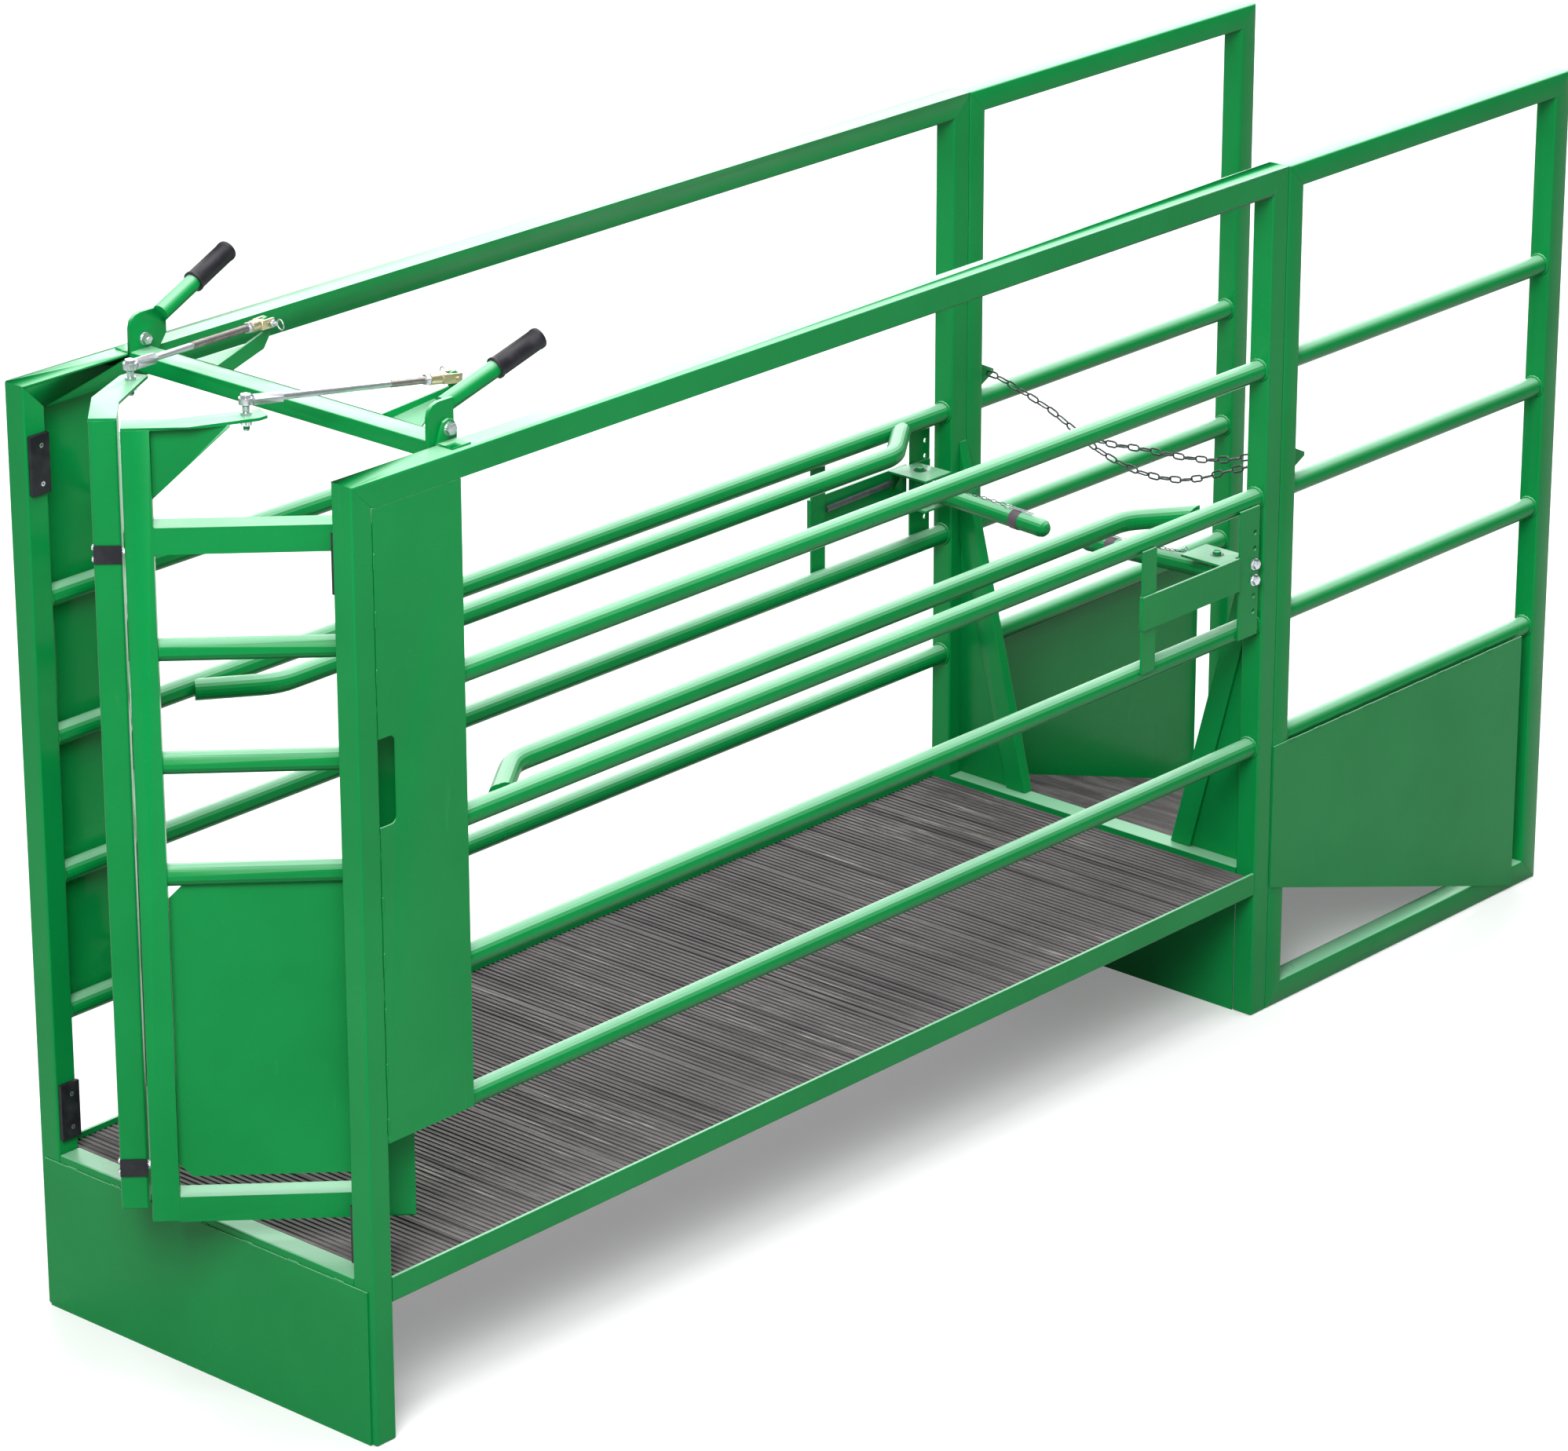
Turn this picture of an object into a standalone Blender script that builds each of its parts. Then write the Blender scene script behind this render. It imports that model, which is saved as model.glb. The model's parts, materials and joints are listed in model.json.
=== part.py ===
"""Stripping chute for cattle: a welded pipe alley with a raised deck, a sprung anti-back bar on each
side, a ramped entry tail and a pair of V gates that one lever shaft opens.

Metres, +Z up. +X runs from the gates (front) to the ramp (rear), the near side is -Y. The origin is
on the ground, midway along the length and the width. "Outward" below is the distance from the
middle plane, so one number places a piece on both sides.
"""
import math

import bmesh
import bpy
from mathutils import Matrix, Vector

# Driving sizes
TUBE = 0.0508             # square tube
RAIL_DIA = 0.0422         # round rail
HEIGHT = 1.8595           # ground to the top of the top rail
HALF_WIDTH = 0.4477       # middle plane to the outer face of the side frames
BODY_LENGTH = 2.657       # front face of the front posts to rear face of the rear posts
TAIL_LENGTH = 0.983       # ramp tail behind the rear posts
FIT = 0.0003              # gap between two pieces that touch
SHEET = 0.003             # folded and flat sheet
PLATE = 0.005             # brackets and lugs
LAP = 0.004               # how far a welded piece runs into its neighbour

FLOOR_TOP = 0.328         # top of the frame round the deck
TOP_RAIL_TO_RAIL = 0.400  # top rail to the first round rail, centre to centre
RAIL_PITCH = 0.276        # round rails, centre to centre
RAIL_COUNT = 4
DECK_DROP = 0.012         # deck surface below the top of its frame
DECK_THICK = 0.032
SKIRT_DROP = 0.016        # top of the skirt below the top of the frame
SKIRT_SET_IN = 0.0127     # end of the skirt from the outer faces of the posts

FRONT_PLATE_REAR = 0.270  # rear edge, from the front faces of the posts
FRONT_PLATE_PAST_RAIL = 0.0102    # its foot, below the centre of the lowest rail
NOTCH_LENGTH = 0.041      # hand slot beside the post
NOTCH_DROP = 0.4815       # top rail to the top of the slot
NOTCH_TALL = 0.168
NOTCH_CORNER = 0.014

BODY_BAR_STANDOFF = 0.1133        # bar that holds the animal off the rails, centre to centre
BODY_BAR_SET_IN = 0.0193          # its ends, inward of the rails' centres
BODY_BAR_FRONT = 0.397
BODY_BAR_TO_POST = 0.159          # rear end to the rear post
BODY_BAR_CANT = math.radians(36)  # lean of the cranked ends
BODY_BAR_CURVE = 0.10             # bend radius

GATE_ANGLE = math.radians(44.5)   # closed leaf to the length of the chute
GATE_MEET = 0.0053        # rear corner of a closed leaf's tip to the middle plane
GATE_LOW = 0.384
GATE_RISE = 0.0535        # top of the leaf above the top rail
GATE_HINGE_X = 0.2115
GATE_HINGE_SET_IN = 0.0285        # hinge axis, inward of the posts' inner faces
GATE_HINGE_GAP = 0.0129   # hinge axis to the edge of the leaf
GATE_FRONT_FACE = 0.0286  # hinge axis to the front face of the leaf
GATE_UPPER_DROP = 0.180   # top of the leaf to the top of its upper square rail
GATE_RAIL_DROPS = (0.4175, 0.633, 0.849)  # top of the leaf to its round rails' centres
GATE_SHEET_LIFT = 0.081   # foot of the leaf to its sheet
GATE_SHEET_CORNER = 0.025
GATE_SEAM = 0.0005        # welded rails inside the faces of the stiles
HINGE_LOW_RISE = 0.104    # lower hinge above the foot of the front plate
HINGE_HIGH_DROP = 0.2595  # upper hinge below the top rail
HINGE_PIN_R = 0.009
HINGE_BARREL_R = 0.0155
HINGE_BARREL_H = 0.060
HINGE_PLAY = 0.0005
BRACKET_THICK = 0.012
BRACKET_HALF = 0.008
CRANK_THICK = 0.006
CRANK_SWEEP = math.radians(17)
CRANK_BEND_FROM_TIP = 0.106       # where the crank plate leaves the leaf
CRANK_RUN = 0.144         # bend to its end, along the leaf
CRANK_NOSE = 0.014        # how much its corners are drawn in
STUD_FROM_CRANK_END = 0.0311      # link's stud, along the leaf
STUD_V = -0.036           # and across it
STUD_R = 0.006
GUSSET_RUN = 0.140
GUSSET_DROP = 0.139
GUSSET_NOSE = 0.004

LEVER_X = 0.290
LEVER_RISE = 0.0255       # pivot above the top rail
YOKE_SET_IN = 0.0120      # inner face of a yoke plate, inward of the posts' inner faces
YOKE_THICK = 0.008
YOKE_FRONT_REACH = {"near": 0.044, "far": 0.035}  # yoke plates, from their pivot
YOKE_REAR_REACH = {"near": 0.020, "far": 0.055}
YOKE_TOP = 0.052
YOKE_ROUND = 0.026
LUG_GAP = 0.0013          # yoke plate to the lug
LUG_THICK = 0.006
LUG_FOOT = 0.042
LUG_FOOT_THICK = 0.004
LUG_HEEL = 0.030          # front of the lug, from the pivot
LUG_HALF = 0.020
LUG_NOSE = 0.012          # its rounded top
LUG_NOSE_RISE = 0.014
LUG_RISE = 0.018
PIVOT_HEAD = (0.019, 0.0085)      # bolt head, across and thick
PIVOT_NUT = (0.017, 0.010)
PIVOT_R = 0.006
PIVOT_PLAY = 0.0005
CROSS_BAR_SET_BACK = 0.035        # front face of the cross bar, ahead of the pivot
CROSS_BAR_LENGTH = 0.051
CROSS_BAR_DROP = 0.051    # foot of the cross bar below the pivot
CROSS_BAR_THICK = 0.032
HANDLE_DIA = 0.0334
HANDLE_START = (0.034, 0.042)     # along and above the pivot
HANDLE_TIP = (0.232, 0.114)
HANDLE_SPLAY = 0.025
HANDLE_ROOT = {"near": 0.023, "far": 0.0}         # how far its tube runs on below that start
GRIP_DIA = 0.040
GRIP_LENGTH = 0.110
ARM_OUT = 0.212
ARM_FLANGE_OUT = 0.306
ARM_PLATE = 0.005
ARM_LIFT = 0.023          # rise of the arms' upper edge

CLEVIS_REACH = 0.172      # lever's pivot to the clevis pin
CLEVIS_OUT = 0.243
CLEVIS_RISE = 0.020       # clevis pin above the lever's pivot
CLEVIS_PIN_R = 0.004
CLEVIS_EYE_R = 0.011
CLEVIS_HOLE_PLAY = 0.0018
CLEVIS_SLOT = 0.017
CLEVIS_CHEEK = 0.004
CLEVIS_HIGH = 0.018
CLEVIS_NECK = 0.024
CLEVIS_THROAT = 0.005     # eye of the arm to the bottom of the slot
CLEVIS_PIN_PAST = 0.006
BALL_LIFT = 0.0255        # ball joint above the crank plate
BALL_R = 0.009
ROD_DIA = 0.0127
ROD_END_R = 0.013
ROD_END_HALF = 0.006
ROD_END_FERRULE = 0.060
ROD_NUT = (0.019, 0.010)

BAR_PIVOT_TO_POST = 0.098
BAR_PIVOT_SET_IN = 0.0203
BAR_DIA = 0.040
BAR_TIP_OUT = 0.045
BAR_DROOP = 0.016         # its tip hangs below its pivot
BAR_PIN_R = 0.008
BAR_PIN_PAST = 0.006
BAR_SLEEVE_R = 0.017
BAR_TIP_SHAPE = ((0.0, 1.0), (0.45, 0.89), (0.78, 0.62), (0.94, 0.34))  # shares of its radius
BRACKET_HIGH_HALF = 0.036         # half the height of the bar's bracket
STRAP_LENGTH = 0.317
STRAP_PAST_PIVOT = 0.012
GUIDE_WIDTH = 0.043
GUIDE_SET_BACK = 0.004    # guide behind the front end of the strap
GUIDE_TO_RAIL = 0.006
FLANGE_LENGTH = 0.085
FLANGE_AHEAD = 0.048
FLANGE_REACH = 0.057
FLANGE_STEP = 0.030
FLANGE_BACK_FROM = 0.060
ADJUSTER_WIDTH = 0.063
ADJUSTER_TO_POST = 0.017
ADJUSTER_LAP = 0.010
ADJUSTER_BOLT_RISE = 0.0085
ADJUSTER_PITCH = 0.0345
ADJUSTER_HOLE_R = 0.0055
ADJUSTER_HOLE_SET_BACK = 0.017    # behind the middle of the plate
ADJUSTER_PLAY = 0.0006
ADJUSTER_BOLT = (0.016, 0.006)    # head, across and thick
SPRING_DIA = 0.013
SPRING_RISE = (0.006, 0.010)      # front and rear end above the bar's centre

WING_FOOT_INNER = 0.196   # foot of the brace, inward of the posts' inner faces
WING_FOOT_OUTER = 0.1436
WING_LEAN = math.radians(14.386)  # from upright
WING_DEPTH = 0.0254

TAIL_SHEET_END_GAP = 0.044        # rear edge of the tail sheet to the rear post
TAIL_SHEET_DROP = 0.006   # its top edge below the lowest rail's centre
TAIL_SHEET_FRONT_LOW = 0.281
TAIL_SHEET_REAR_LOW = 0.007
KEEPER_LENGTH = 0.065
KEEPER_RISE = 0.055       # chain's keeper above the second rail
KEEPER_HIGH = 0.070
RAMP_THICK = 0.030
RAMP_TOE = 0.018

PAD_FRONT = 0.005
PAD_WIDTH = 0.047
PAD_THICK = 0.008
PAD_HIGH = 0.116
PAD_LOW_LIFT = 0.027      # lower pad above the floor frame
PAD_UPPER_DROP = 0.0955   # upper pad below the top rail
STRAP_HIGH = 0.034
STRAP_THICK = 0.004
STRAP_LOW_RISE = 0.086    # lower rubber strap above the foot of the leaf
STRAP_TOP_DROP = 0.248    # upper rubber strap below the top of the leaf

CHAIN_BEHIND_POST = 0.091
CHAIN_DIA = 0.014
CHAIN_ROUTE = ((0.4172, 1.212), (0.385, 1.209), (0.253, 1.172), (0.170, 1.135), (0.107, 1.107),
               (0.055, 1.093), (-0.006, 1.0835), (-0.063, 1.084), (-0.122, 1.0925), (-0.179, 1.111),
               (-0.240, 1.138), (-0.300, 1.163), (-0.360, 1.187), (-0.400, 1.2035), (-0.4172, 1.2045))
CHAIN_TAIL_ROUTE = ((-0.4172, 1.2205), (-0.400, 1.2195), (-0.340, 1.198), (-0.283, 1.178), (-0.217, 1.158),
                    (-0.151, 1.146), (-0.089, 1.1405), (-0.011, 1.136), (0.060, 1.129), (0.118, 1.127))

# Sizes that follow
INNER = HALF_WIDTH - TUBE
MIDDLE = HALF_WIDTH - TUBE / 2
RAIL_R = RAIL_DIA / 2
REAR_POST = BODY_LENGTH - TUBE
TAIL_FRONT = BODY_LENGTH + FIT
TAIL_END = BODY_LENGTH + TAIL_LENGTH
FLOOR_LOW = FLOOR_TOP - TUBE
DECK_TOP = FLOOR_TOP - DECK_DROP
SILL_THICK = DECK_TOP - DECK_THICK - FIT - FLOOR_LOW  # legs of the angle that the deck lies in
DECK_OUT = HALF_WIDTH - SILL_THICK - FIT
RAILS_Z = tuple(HEIGHT - TUBE / 2 - TOP_RAIL_TO_RAIL - RAIL_PITCH * i for i in range(RAIL_COUNT))
FRONT_PLATE_LOW = RAILS_Z[-1] - FRONT_PLATE_PAST_RAIL
NOTCH_HIGH = HEIGHT - NOTCH_DROP
NOTCH_LOW = NOTCH_HIGH - NOTCH_TALL
BODY_BAR_Z = RAILS_Z[1]
BODY_BAR_OUT = MIDDLE - BODY_BAR_STANDOFF
BODY_BAR_SEAT = MIDDLE - BODY_BAR_SET_IN
BODY_BAR_REAR = REAR_POST - BODY_BAR_TO_POST
GATE_HIGH = HEIGHT + GATE_RISE
GATE_HINGE_OUT = INNER - GATE_HINGE_SET_IN
GATE_BACK_FACE = GATE_FRONT_FACE - TUBE
GATE_MIDDLE = GATE_FRONT_FACE - TUBE / 2
GATE_TIP_U = (GATE_HINGE_OUT - GATE_MEET + GATE_BACK_FACE * math.cos(GATE_ANGLE)) / math.sin(GATE_ANGLE)
GATE_UPPER_TOP = GATE_HIGH - GATE_UPPER_DROP
GATE_RAILS_Z = tuple(GATE_HIGH - drop for drop in GATE_RAIL_DROPS)
HINGE_LEVELS = (FRONT_PLATE_LOW + HINGE_LOW_RISE, HEIGHT - HINGE_HIGH_DROP)
CRANK_Z = GATE_HIGH - LAP / 4
CRANK_TOP = CRANK_Z + CRANK_THICK
CRANK_BEND_U = GATE_TIP_U - CRANK_BEND_FROM_TIP
CRANK_END_U = CRANK_BEND_U - CRANK_RUN
STUD_U = CRANK_END_U + STUD_FROM_CRANK_END
BALL_Z = CRANK_TOP + BALL_LIFT
LEVER_Z = HEIGHT + LEVER_RISE
YOKE_OUT = INNER - YOKE_SET_IN
LUG_OUT = YOKE_OUT + YOKE_THICK + LUG_GAP
CROSS_BAR_X = LEVER_X - CROSS_BAR_SET_BACK
CROSS_BAR_REAR = CROSS_BAR_X + CROSS_BAR_LENGTH
CROSS_BAR_LOW = LEVER_Z - CROSS_BAR_DROP
CROSS_BAR_HIGH = CROSS_BAR_LOW + CROSS_BAR_THICK
CLEVIS_X = LEVER_X + CLEVIS_REACH
CLEVIS_Z = LEVER_Z + CLEVIS_RISE
BAR_PIVOT_X = REAR_POST - BAR_PIVOT_TO_POST
BAR_PIVOT_OUT = MIDDLE - BAR_PIVOT_SET_IN
BAR_Z = (RAILS_Z[1] + RAILS_Z[2]) / 2
BRACKET_LOW = BAR_Z - BRACKET_HIGH_HALF
BRACKET_HIGH = BAR_Z + BRACKET_HIGH_HALF
STRAP_REAR = BAR_PIVOT_X + STRAP_PAST_PIVOT
STRAP_FRONT = STRAP_REAR - STRAP_LENGTH
GUIDE_FRONT = STRAP_FRONT + GUIDE_SET_BACK
FLANGE_FRONT = BAR_PIVOT_X - FLANGE_AHEAD
FLANGE_REAR = FLANGE_FRONT + FLANGE_LENGTH
ADJUSTER_REAR = REAR_POST - ADJUSTER_TO_POST
ADJUSTER_FRONT = ADJUSTER_REAR - ADJUSTER_WIDTH
ADJUSTER_LOW = RAILS_Z[2] - ADJUSTER_LAP
ADJUSTER_HIGH = RAILS_Z[1] - ADJUSTER_LAP / 2
ADJUSTER_BOLT_Z = BAR_Z + ADJUSTER_BOLT_RISE
TAIL_SHEET_TOP = RAILS_Z[-1] - TAIL_SHEET_DROP
KEEPER_Z = RAILS_Z[1] + KEEPER_RISE
PAD_LEVELS = (FLOOR_TOP + PAD_LOW_LIFT, HEIGHT - PAD_UPPER_DROP - PAD_HIGH)
STRAP_LEVELS = (GATE_LOW + STRAP_LOW_RISE, GATE_HIGH - STRAP_TOP_DROP)
CHAIN_X = BODY_LENGTH + CHAIN_BEHIND_POST
STRAP_U = GATE_TIP_U + FIT + STRAP_THICK
FRONT_END = GATE_HINGE_X - STRAP_U * math.cos(GATE_ANGLE) - GATE_FRONT_FACE * math.sin(GATE_ANGLE)
SHIFT = -(FRONT_END + TAIL_END) / 2
SIDES = {"near": -1, "far": 1}


def clear_scene():
    for item in list(bpy.data.objects):
        bpy.data.objects.remove(item, do_unlink=True)


def material(name, color, roughness, metallic):
    made = bpy.data.materials.new(name)
    made.use_nodes = True
    shader = made.node_tree.nodes["Principled BSDF"]
    shader.inputs["Base Color"].default_value = (*color, 1.0)
    shader.inputs["Roughness"].default_value = roughness
    shader.inputs["Metallic"].default_value = metallic
    return made


def finish(mesh, round_piece):
    """Faces outward, and round pieces shaded smooth."""
    work = bmesh.new()
    work.from_mesh(mesh)
    bmesh.ops.recalc_face_normals(work, faces=work.faces)
    work.to_mesh(mesh)
    work.free()
    if round_piece:
        mesh.shade_smooth()
        mesh.set_sharp_from_angle(angle=math.radians(35))


def prism(points, offset):
    """Mesh of a flat outline pushed along an offset."""
    work = bmesh.new()
    low = [work.verts.new(Vector(p)) for p in points]
    high = [work.verts.new(Vector(p) + Vector(offset)) for p in points]
    count = len(points)
    work.faces.new(low)
    work.faces.new(high[::-1])
    for i in range(count):
        j = (i + 1) % count
        work.faces.new((low[i], high[i], high[j], low[j]))
    mesh = bpy.data.meshes.new("prism")
    work.to_mesh(mesh)
    work.free()
    finish(mesh, False)
    return mesh


def block(low, high):
    x0, y0, z0 = low
    x1, y1, z1 = high
    return prism([(x0, y0, z0), (x1, y0, z0), (x1, y1, z0), (x0, y1, z0)], (0, 0, z1 - z0))


def sweep(points, radius, sides=16, radii=None):
    """Mesh of a capped round bar along a route; radii gives each point its own radius."""
    route = [Vector(p) for p in points]
    work = bmesh.new()
    rings = []
    side = None
    for i, here in enumerate(route):
        before = (here - route[i - 1]).normalized() if i else (route[1] - here).normalized()
        after = (route[i + 1] - here).normalized() if i + 1 < len(route) else before
        along = (before + after).normalized()
        if side is None:
            side = along.orthogonal().normalized()
        side = (side - along * side.dot(along)).normalized()
        up = along.cross(side)
        size = radii[i] if radii else radius
        ring = []
        for k in range(sides):
            turn = 2 * math.pi * k / sides
            ring.append(work.verts.new(here + (side * math.cos(turn) + up * math.sin(turn)) * size))
        rings.append(ring)
    for first, second in zip(rings, rings[1:]):
        for k in range(sides):
            j = (k + 1) % sides
            work.faces.new((first[k], first[j], second[j], second[k]))
    work.faces.new(rings[0][::-1])
    work.faces.new(rings[-1])
    mesh = bpy.data.meshes.new("sweep")
    work.to_mesh(mesh)
    work.free()
    finish(mesh, True)
    return mesh


def rounded_route(corners, radius, steps=5):
    """Points of a bent bar: straight runs joined by arcs."""
    pts = [Vector(c) for c in corners]
    route = [pts[0]]
    for before, corner, after in zip(pts, pts[1:], pts[2:]):
        into = (before - corner).normalized()
        away = (after - corner).normalized()
        half = into.angle(away) / 2
        reach = radius / math.tan(half)
        centre = corner + (into + away).normalized() * (radius / math.sin(half))
        start = corner + into * reach - centre
        end = corner + away * reach - centre
        sweep_angle = start.angle(end)
        axis = start.cross(end).normalized()
        for i in range(steps + 1):
            turn = Matrix.Rotation(sweep_angle * i / steps, 3, axis)
            route.append(centre + turn @ start)
    route.append(pts[-1])
    return route


def place(name, mesh, look, pivot=(0, 0, 0)):
    """Object with its origin on the pivot; positions are measured from the front posts' faces."""
    centre = Vector(pivot)
    mesh.transform(Matrix.Translation(-centre))
    mesh.name = name
    mesh.materials.clear()
    mesh.materials.append(look)
    item = bpy.data.objects.new(name, mesh)
    item.location = centre + Vector((SHIFT, 0, 0))
    bpy.context.scene.collection.objects.link(item)
    return item


def combine(meshes, operation, solver="EXACT"):
    """First mesh with the others joined to it, or cut from it, one after the other."""
    base = bpy.data.objects.new("base", meshes[0])
    bpy.context.scene.collection.objects.link(base)
    tools = []
    for mesh in meshes[1:]:
        tool = bpy.data.objects.new("tool", mesh)
        bpy.context.scene.collection.objects.link(tool)
        step = base.modifiers.new("join", "BOOLEAN")
        step.operation = operation
        step.solver = solver
        step.object = tool
        tools.append(tool)
    bpy.context.view_layer.update()
    graph = bpy.context.evaluated_depsgraph_get()
    result = bpy.data.meshes.new_from_object(base.evaluated_get(graph))
    for item in tools + [base]:
        bpy.data.objects.remove(item, do_unlink=True)
    result.shade_smooth()
    result.set_sharp_from_angle(angle=math.radians(35))
    return result


def fuse(*meshes):
    return combine(list(meshes), "UNION")


def cut(*meshes):
    return combine(list(meshes), "DIFFERENCE")


def side_block(side, x0, x1, out0, out1, z0, z1):
    """Block between two outward distances, on one side of the chute."""
    ends = sorted((side * out0, side * out1))
    return block((x0, ends[0], z0), (x1, ends[1], z1))


def side_prism(side, profile, out0, out1):
    """Outline in X and Z, pushed from one outward distance to the other."""
    return prism([(x, side * out0, z) for x, z in profile], (0, side * (out1 - out0), 0))


def upright(x, y, z0, z1, radius, sides=20):
    return sweep([(x, y, z0), (x, y, z1)], radius, sides)


def hex_head(centre, axis, across, thick):
    start = Vector(centre)
    return sweep([start, start + Vector(axis) * thick], across / math.sqrt(3), 6)


def leaf_point(side, u, v, z):
    """Point of a closed gate leaf: u from the hinge to the tip, v to its front face."""
    x = GATE_HINGE_X - u * math.cos(GATE_ANGLE) - v * math.sin(GATE_ANGLE)
    out = GATE_HINGE_OUT - u * math.sin(GATE_ANGLE) + v * math.cos(GATE_ANGLE)
    return Vector((x, side * out, z))


def leaf_prism(side, outline, v0, v1):
    """Outline in u and z, pushed through the leaf."""
    start = [leaf_point(side, u, v0, z) for u, z in outline]
    return prism(start, leaf_point(side, 0, v1, 0) - leaf_point(side, 0, v0, 0))


def leaf_plate(side, outline, z0, z1):
    """Outline in u and v, pushed up."""
    return prism([leaf_point(side, u, v, z0) for u, v in outline], (0, 0, z1 - z0))


def make_side_frame(name, side, paint):
    """Posts, mitred top rail with the lever's lug, angle along the deck and the round rails of one side."""
    post_top = HEIGHT - TUBE
    front = [(0, 0), (TUBE, 0), (TUBE, post_top - FIT), (0, HEIGHT - FIT)]
    place(f"{name}_front_post", side_prism(side, front, INNER, HALF_WIDTH), paint)
    rear = [(REAR_POST, 0), (BODY_LENGTH, 0), (BODY_LENGTH, HEIGHT - FIT), (REAR_POST, post_top - FIT)]
    place(f"{name}_rear_post", side_prism(side, rear, INNER, HALF_WIDTH), paint)
    top = [(FIT, HEIGHT), (TUBE + FIT, post_top), (REAR_POST - FIT, post_top), (BODY_LENGTH - FIT, HEIGHT)]
    rail = side_prism(side, top, INNER, HALF_WIDTH)
    weld = HEIGHT - LAP
    lug_profile = [(LEVER_X - LUG_HEEL, weld), (LEVER_X + LUG_HALF, weld), (LEVER_X + LUG_HALF, LEVER_Z),
                   (LEVER_X + LUG_NOSE, LEVER_Z + LUG_NOSE_RISE), (LEVER_X, LEVER_Z + LUG_RISE),
                   (LEVER_X - LUG_NOSE, LEVER_Z + LUG_NOSE_RISE), (LEVER_X - LUG_HALF, LEVER_Z)]
    lug = side_prism(side, lug_profile, LUG_OUT, LUG_OUT + LUG_THICK)
    thick = LUG_FOOT_THICK
    foot = side_block(side, LEVER_X - LUG_HEEL + thick / 2, LEVER_X + LUG_HALF - thick / 4,
                      LUG_OUT + LUG_THICK / 2, LUG_OUT + LUG_FOOT, HEIGHT - thick * 0.75, HEIGHT + thick)
    seat = side_block(side, LEVER_X - LUG_HEEL + thick / 4, LEVER_X + LUG_HALF - thick / 4,
                      LUG_OUT + thick / 4, INNER + LAP * 2, HEIGHT - LAP * 2, HEIGHT + thick / 2)
    across, head_thick = PIVOT_HEAD
    head_out = LUG_OUT + LUG_THICK - LAP / 4
    head = hex_head((LEVER_X, side * head_out, LEVER_Z), (0, side, 0), across, head_thick)
    nut_across, nut_thick = PIVOT_NUT
    shank = sweep([(LEVER_X, side * (LUG_OUT + LAP), LEVER_Z),
                   (LEVER_X, side * (YOKE_OUT - nut_thick * 0.8), LEVER_Z)], PIVOT_R, 20)
    nut = hex_head((LEVER_X, side * (YOKE_OUT - LAP / 5), LEVER_Z), (0, -side, 0), nut_across, nut_thick)
    place(f"{name}_top_rail", fuse(rail, seat, lug, foot, head, shank, nut), paint)
    leg_in, leg_top = HALF_WIDTH - SILL_THICK, FLOOR_LOW + SILL_THICK
    angle = [(INNER, FLOOR_LOW), (HALF_WIDTH, FLOOR_LOW), (HALF_WIDTH, FLOOR_TOP), (leg_in, FLOOR_TOP),
             (leg_in, leg_top), (INNER, leg_top)]
    floor = prism([(TUBE + FIT, side * out, z) for out, z in angle], (REAR_POST - TUBE - 2 * FIT, 0, 0))
    place(f"{name}_floor_rail", floor, paint)
    for number, z in enumerate(RAILS_Z, 1):
        y = side * MIDDLE
        bar = sweep([(TUBE + FIT, y, z), (REAR_POST - FIT, y, z)], RAIL_R, 20)
        place(f"{name}_rail_{number}", bar, paint)


def make_front_plate(name, side, paint):
    """Wide plate beside the front post, its hand slot and the pins that the gate hangs on."""
    low, high = NOTCH_LOW, NOTCH_HIGH
    start = TUBE + FIT
    slot = start + NOTCH_LENGTH
    corner = NOTCH_CORNER
    arc = [(slot - corner + corner * math.sin(a), low + corner - corner * math.cos(a))
           for a in (math.radians(15 * i) for i in range(7))]
    arc += [(x, low + high - z) for x, z in reversed(arc)]
    top = HEIGHT - TUBE - FIT
    outline = [(start, FRONT_PLATE_LOW), (FRONT_PLATE_REAR, FRONT_PLATE_LOW), (FRONT_PLATE_REAR, top),
               (start, top), (start, high)] + arc[::-1] + [(start, low)]
    pieces = [side_prism(side, outline, HALF_WIDTH - SHEET, HALF_WIDTH)]
    for z in HINGE_LEVELS:
        arm = side_block(side, GATE_HINGE_X - BRACKET_HALF, GATE_HINGE_X + BRACKET_HALF,
                         GATE_HINGE_OUT, HALF_WIDTH - SHEET / 2, z - BRACKET_THICK, z)
        pin = upright(GATE_HINGE_X, side * GATE_HINGE_OUT, z - BRACKET_THICK - LAP / 4,
                      z + HINGE_BARREL_H + LAP * 1.5, HINGE_PIN_R)
        pieces += [arm, pin]
    place(f"{name}_front_plate", fuse(*pieces), paint)


def make_body_bar(name, side, paint):
    """Bar with cranked ends, welded inside the second rail."""
    rest = MIDDLE - RAIL_R - FIT
    reach = (BODY_BAR_SEAT - BODY_BAR_OUT) / math.tan(BODY_BAR_CANT)
    seat = BODY_BAR_SEAT
    corners = [(BODY_BAR_FRONT, side * seat, BODY_BAR_Z),
               (BODY_BAR_FRONT + reach, side * BODY_BAR_OUT, BODY_BAR_Z),
               (BODY_BAR_REAR - reach, side * BODY_BAR_OUT, BODY_BAR_Z),
               (BODY_BAR_REAR, side * seat, BODY_BAR_Z)]
    bar = sweep(rounded_route(corners, BODY_BAR_CURVE), RAIL_R, 20)
    length = BODY_BAR_REAR - BODY_BAR_FRONT
    trim = side_block(side, BODY_BAR_FRONT - length, BODY_BAR_REAR + length, rest, rest + TUBE * 2,
                      BODY_BAR_Z - TUBE, BODY_BAR_Z + TUBE)
    place(f"{name}_body_bar", cut(bar, trim), paint)


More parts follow.
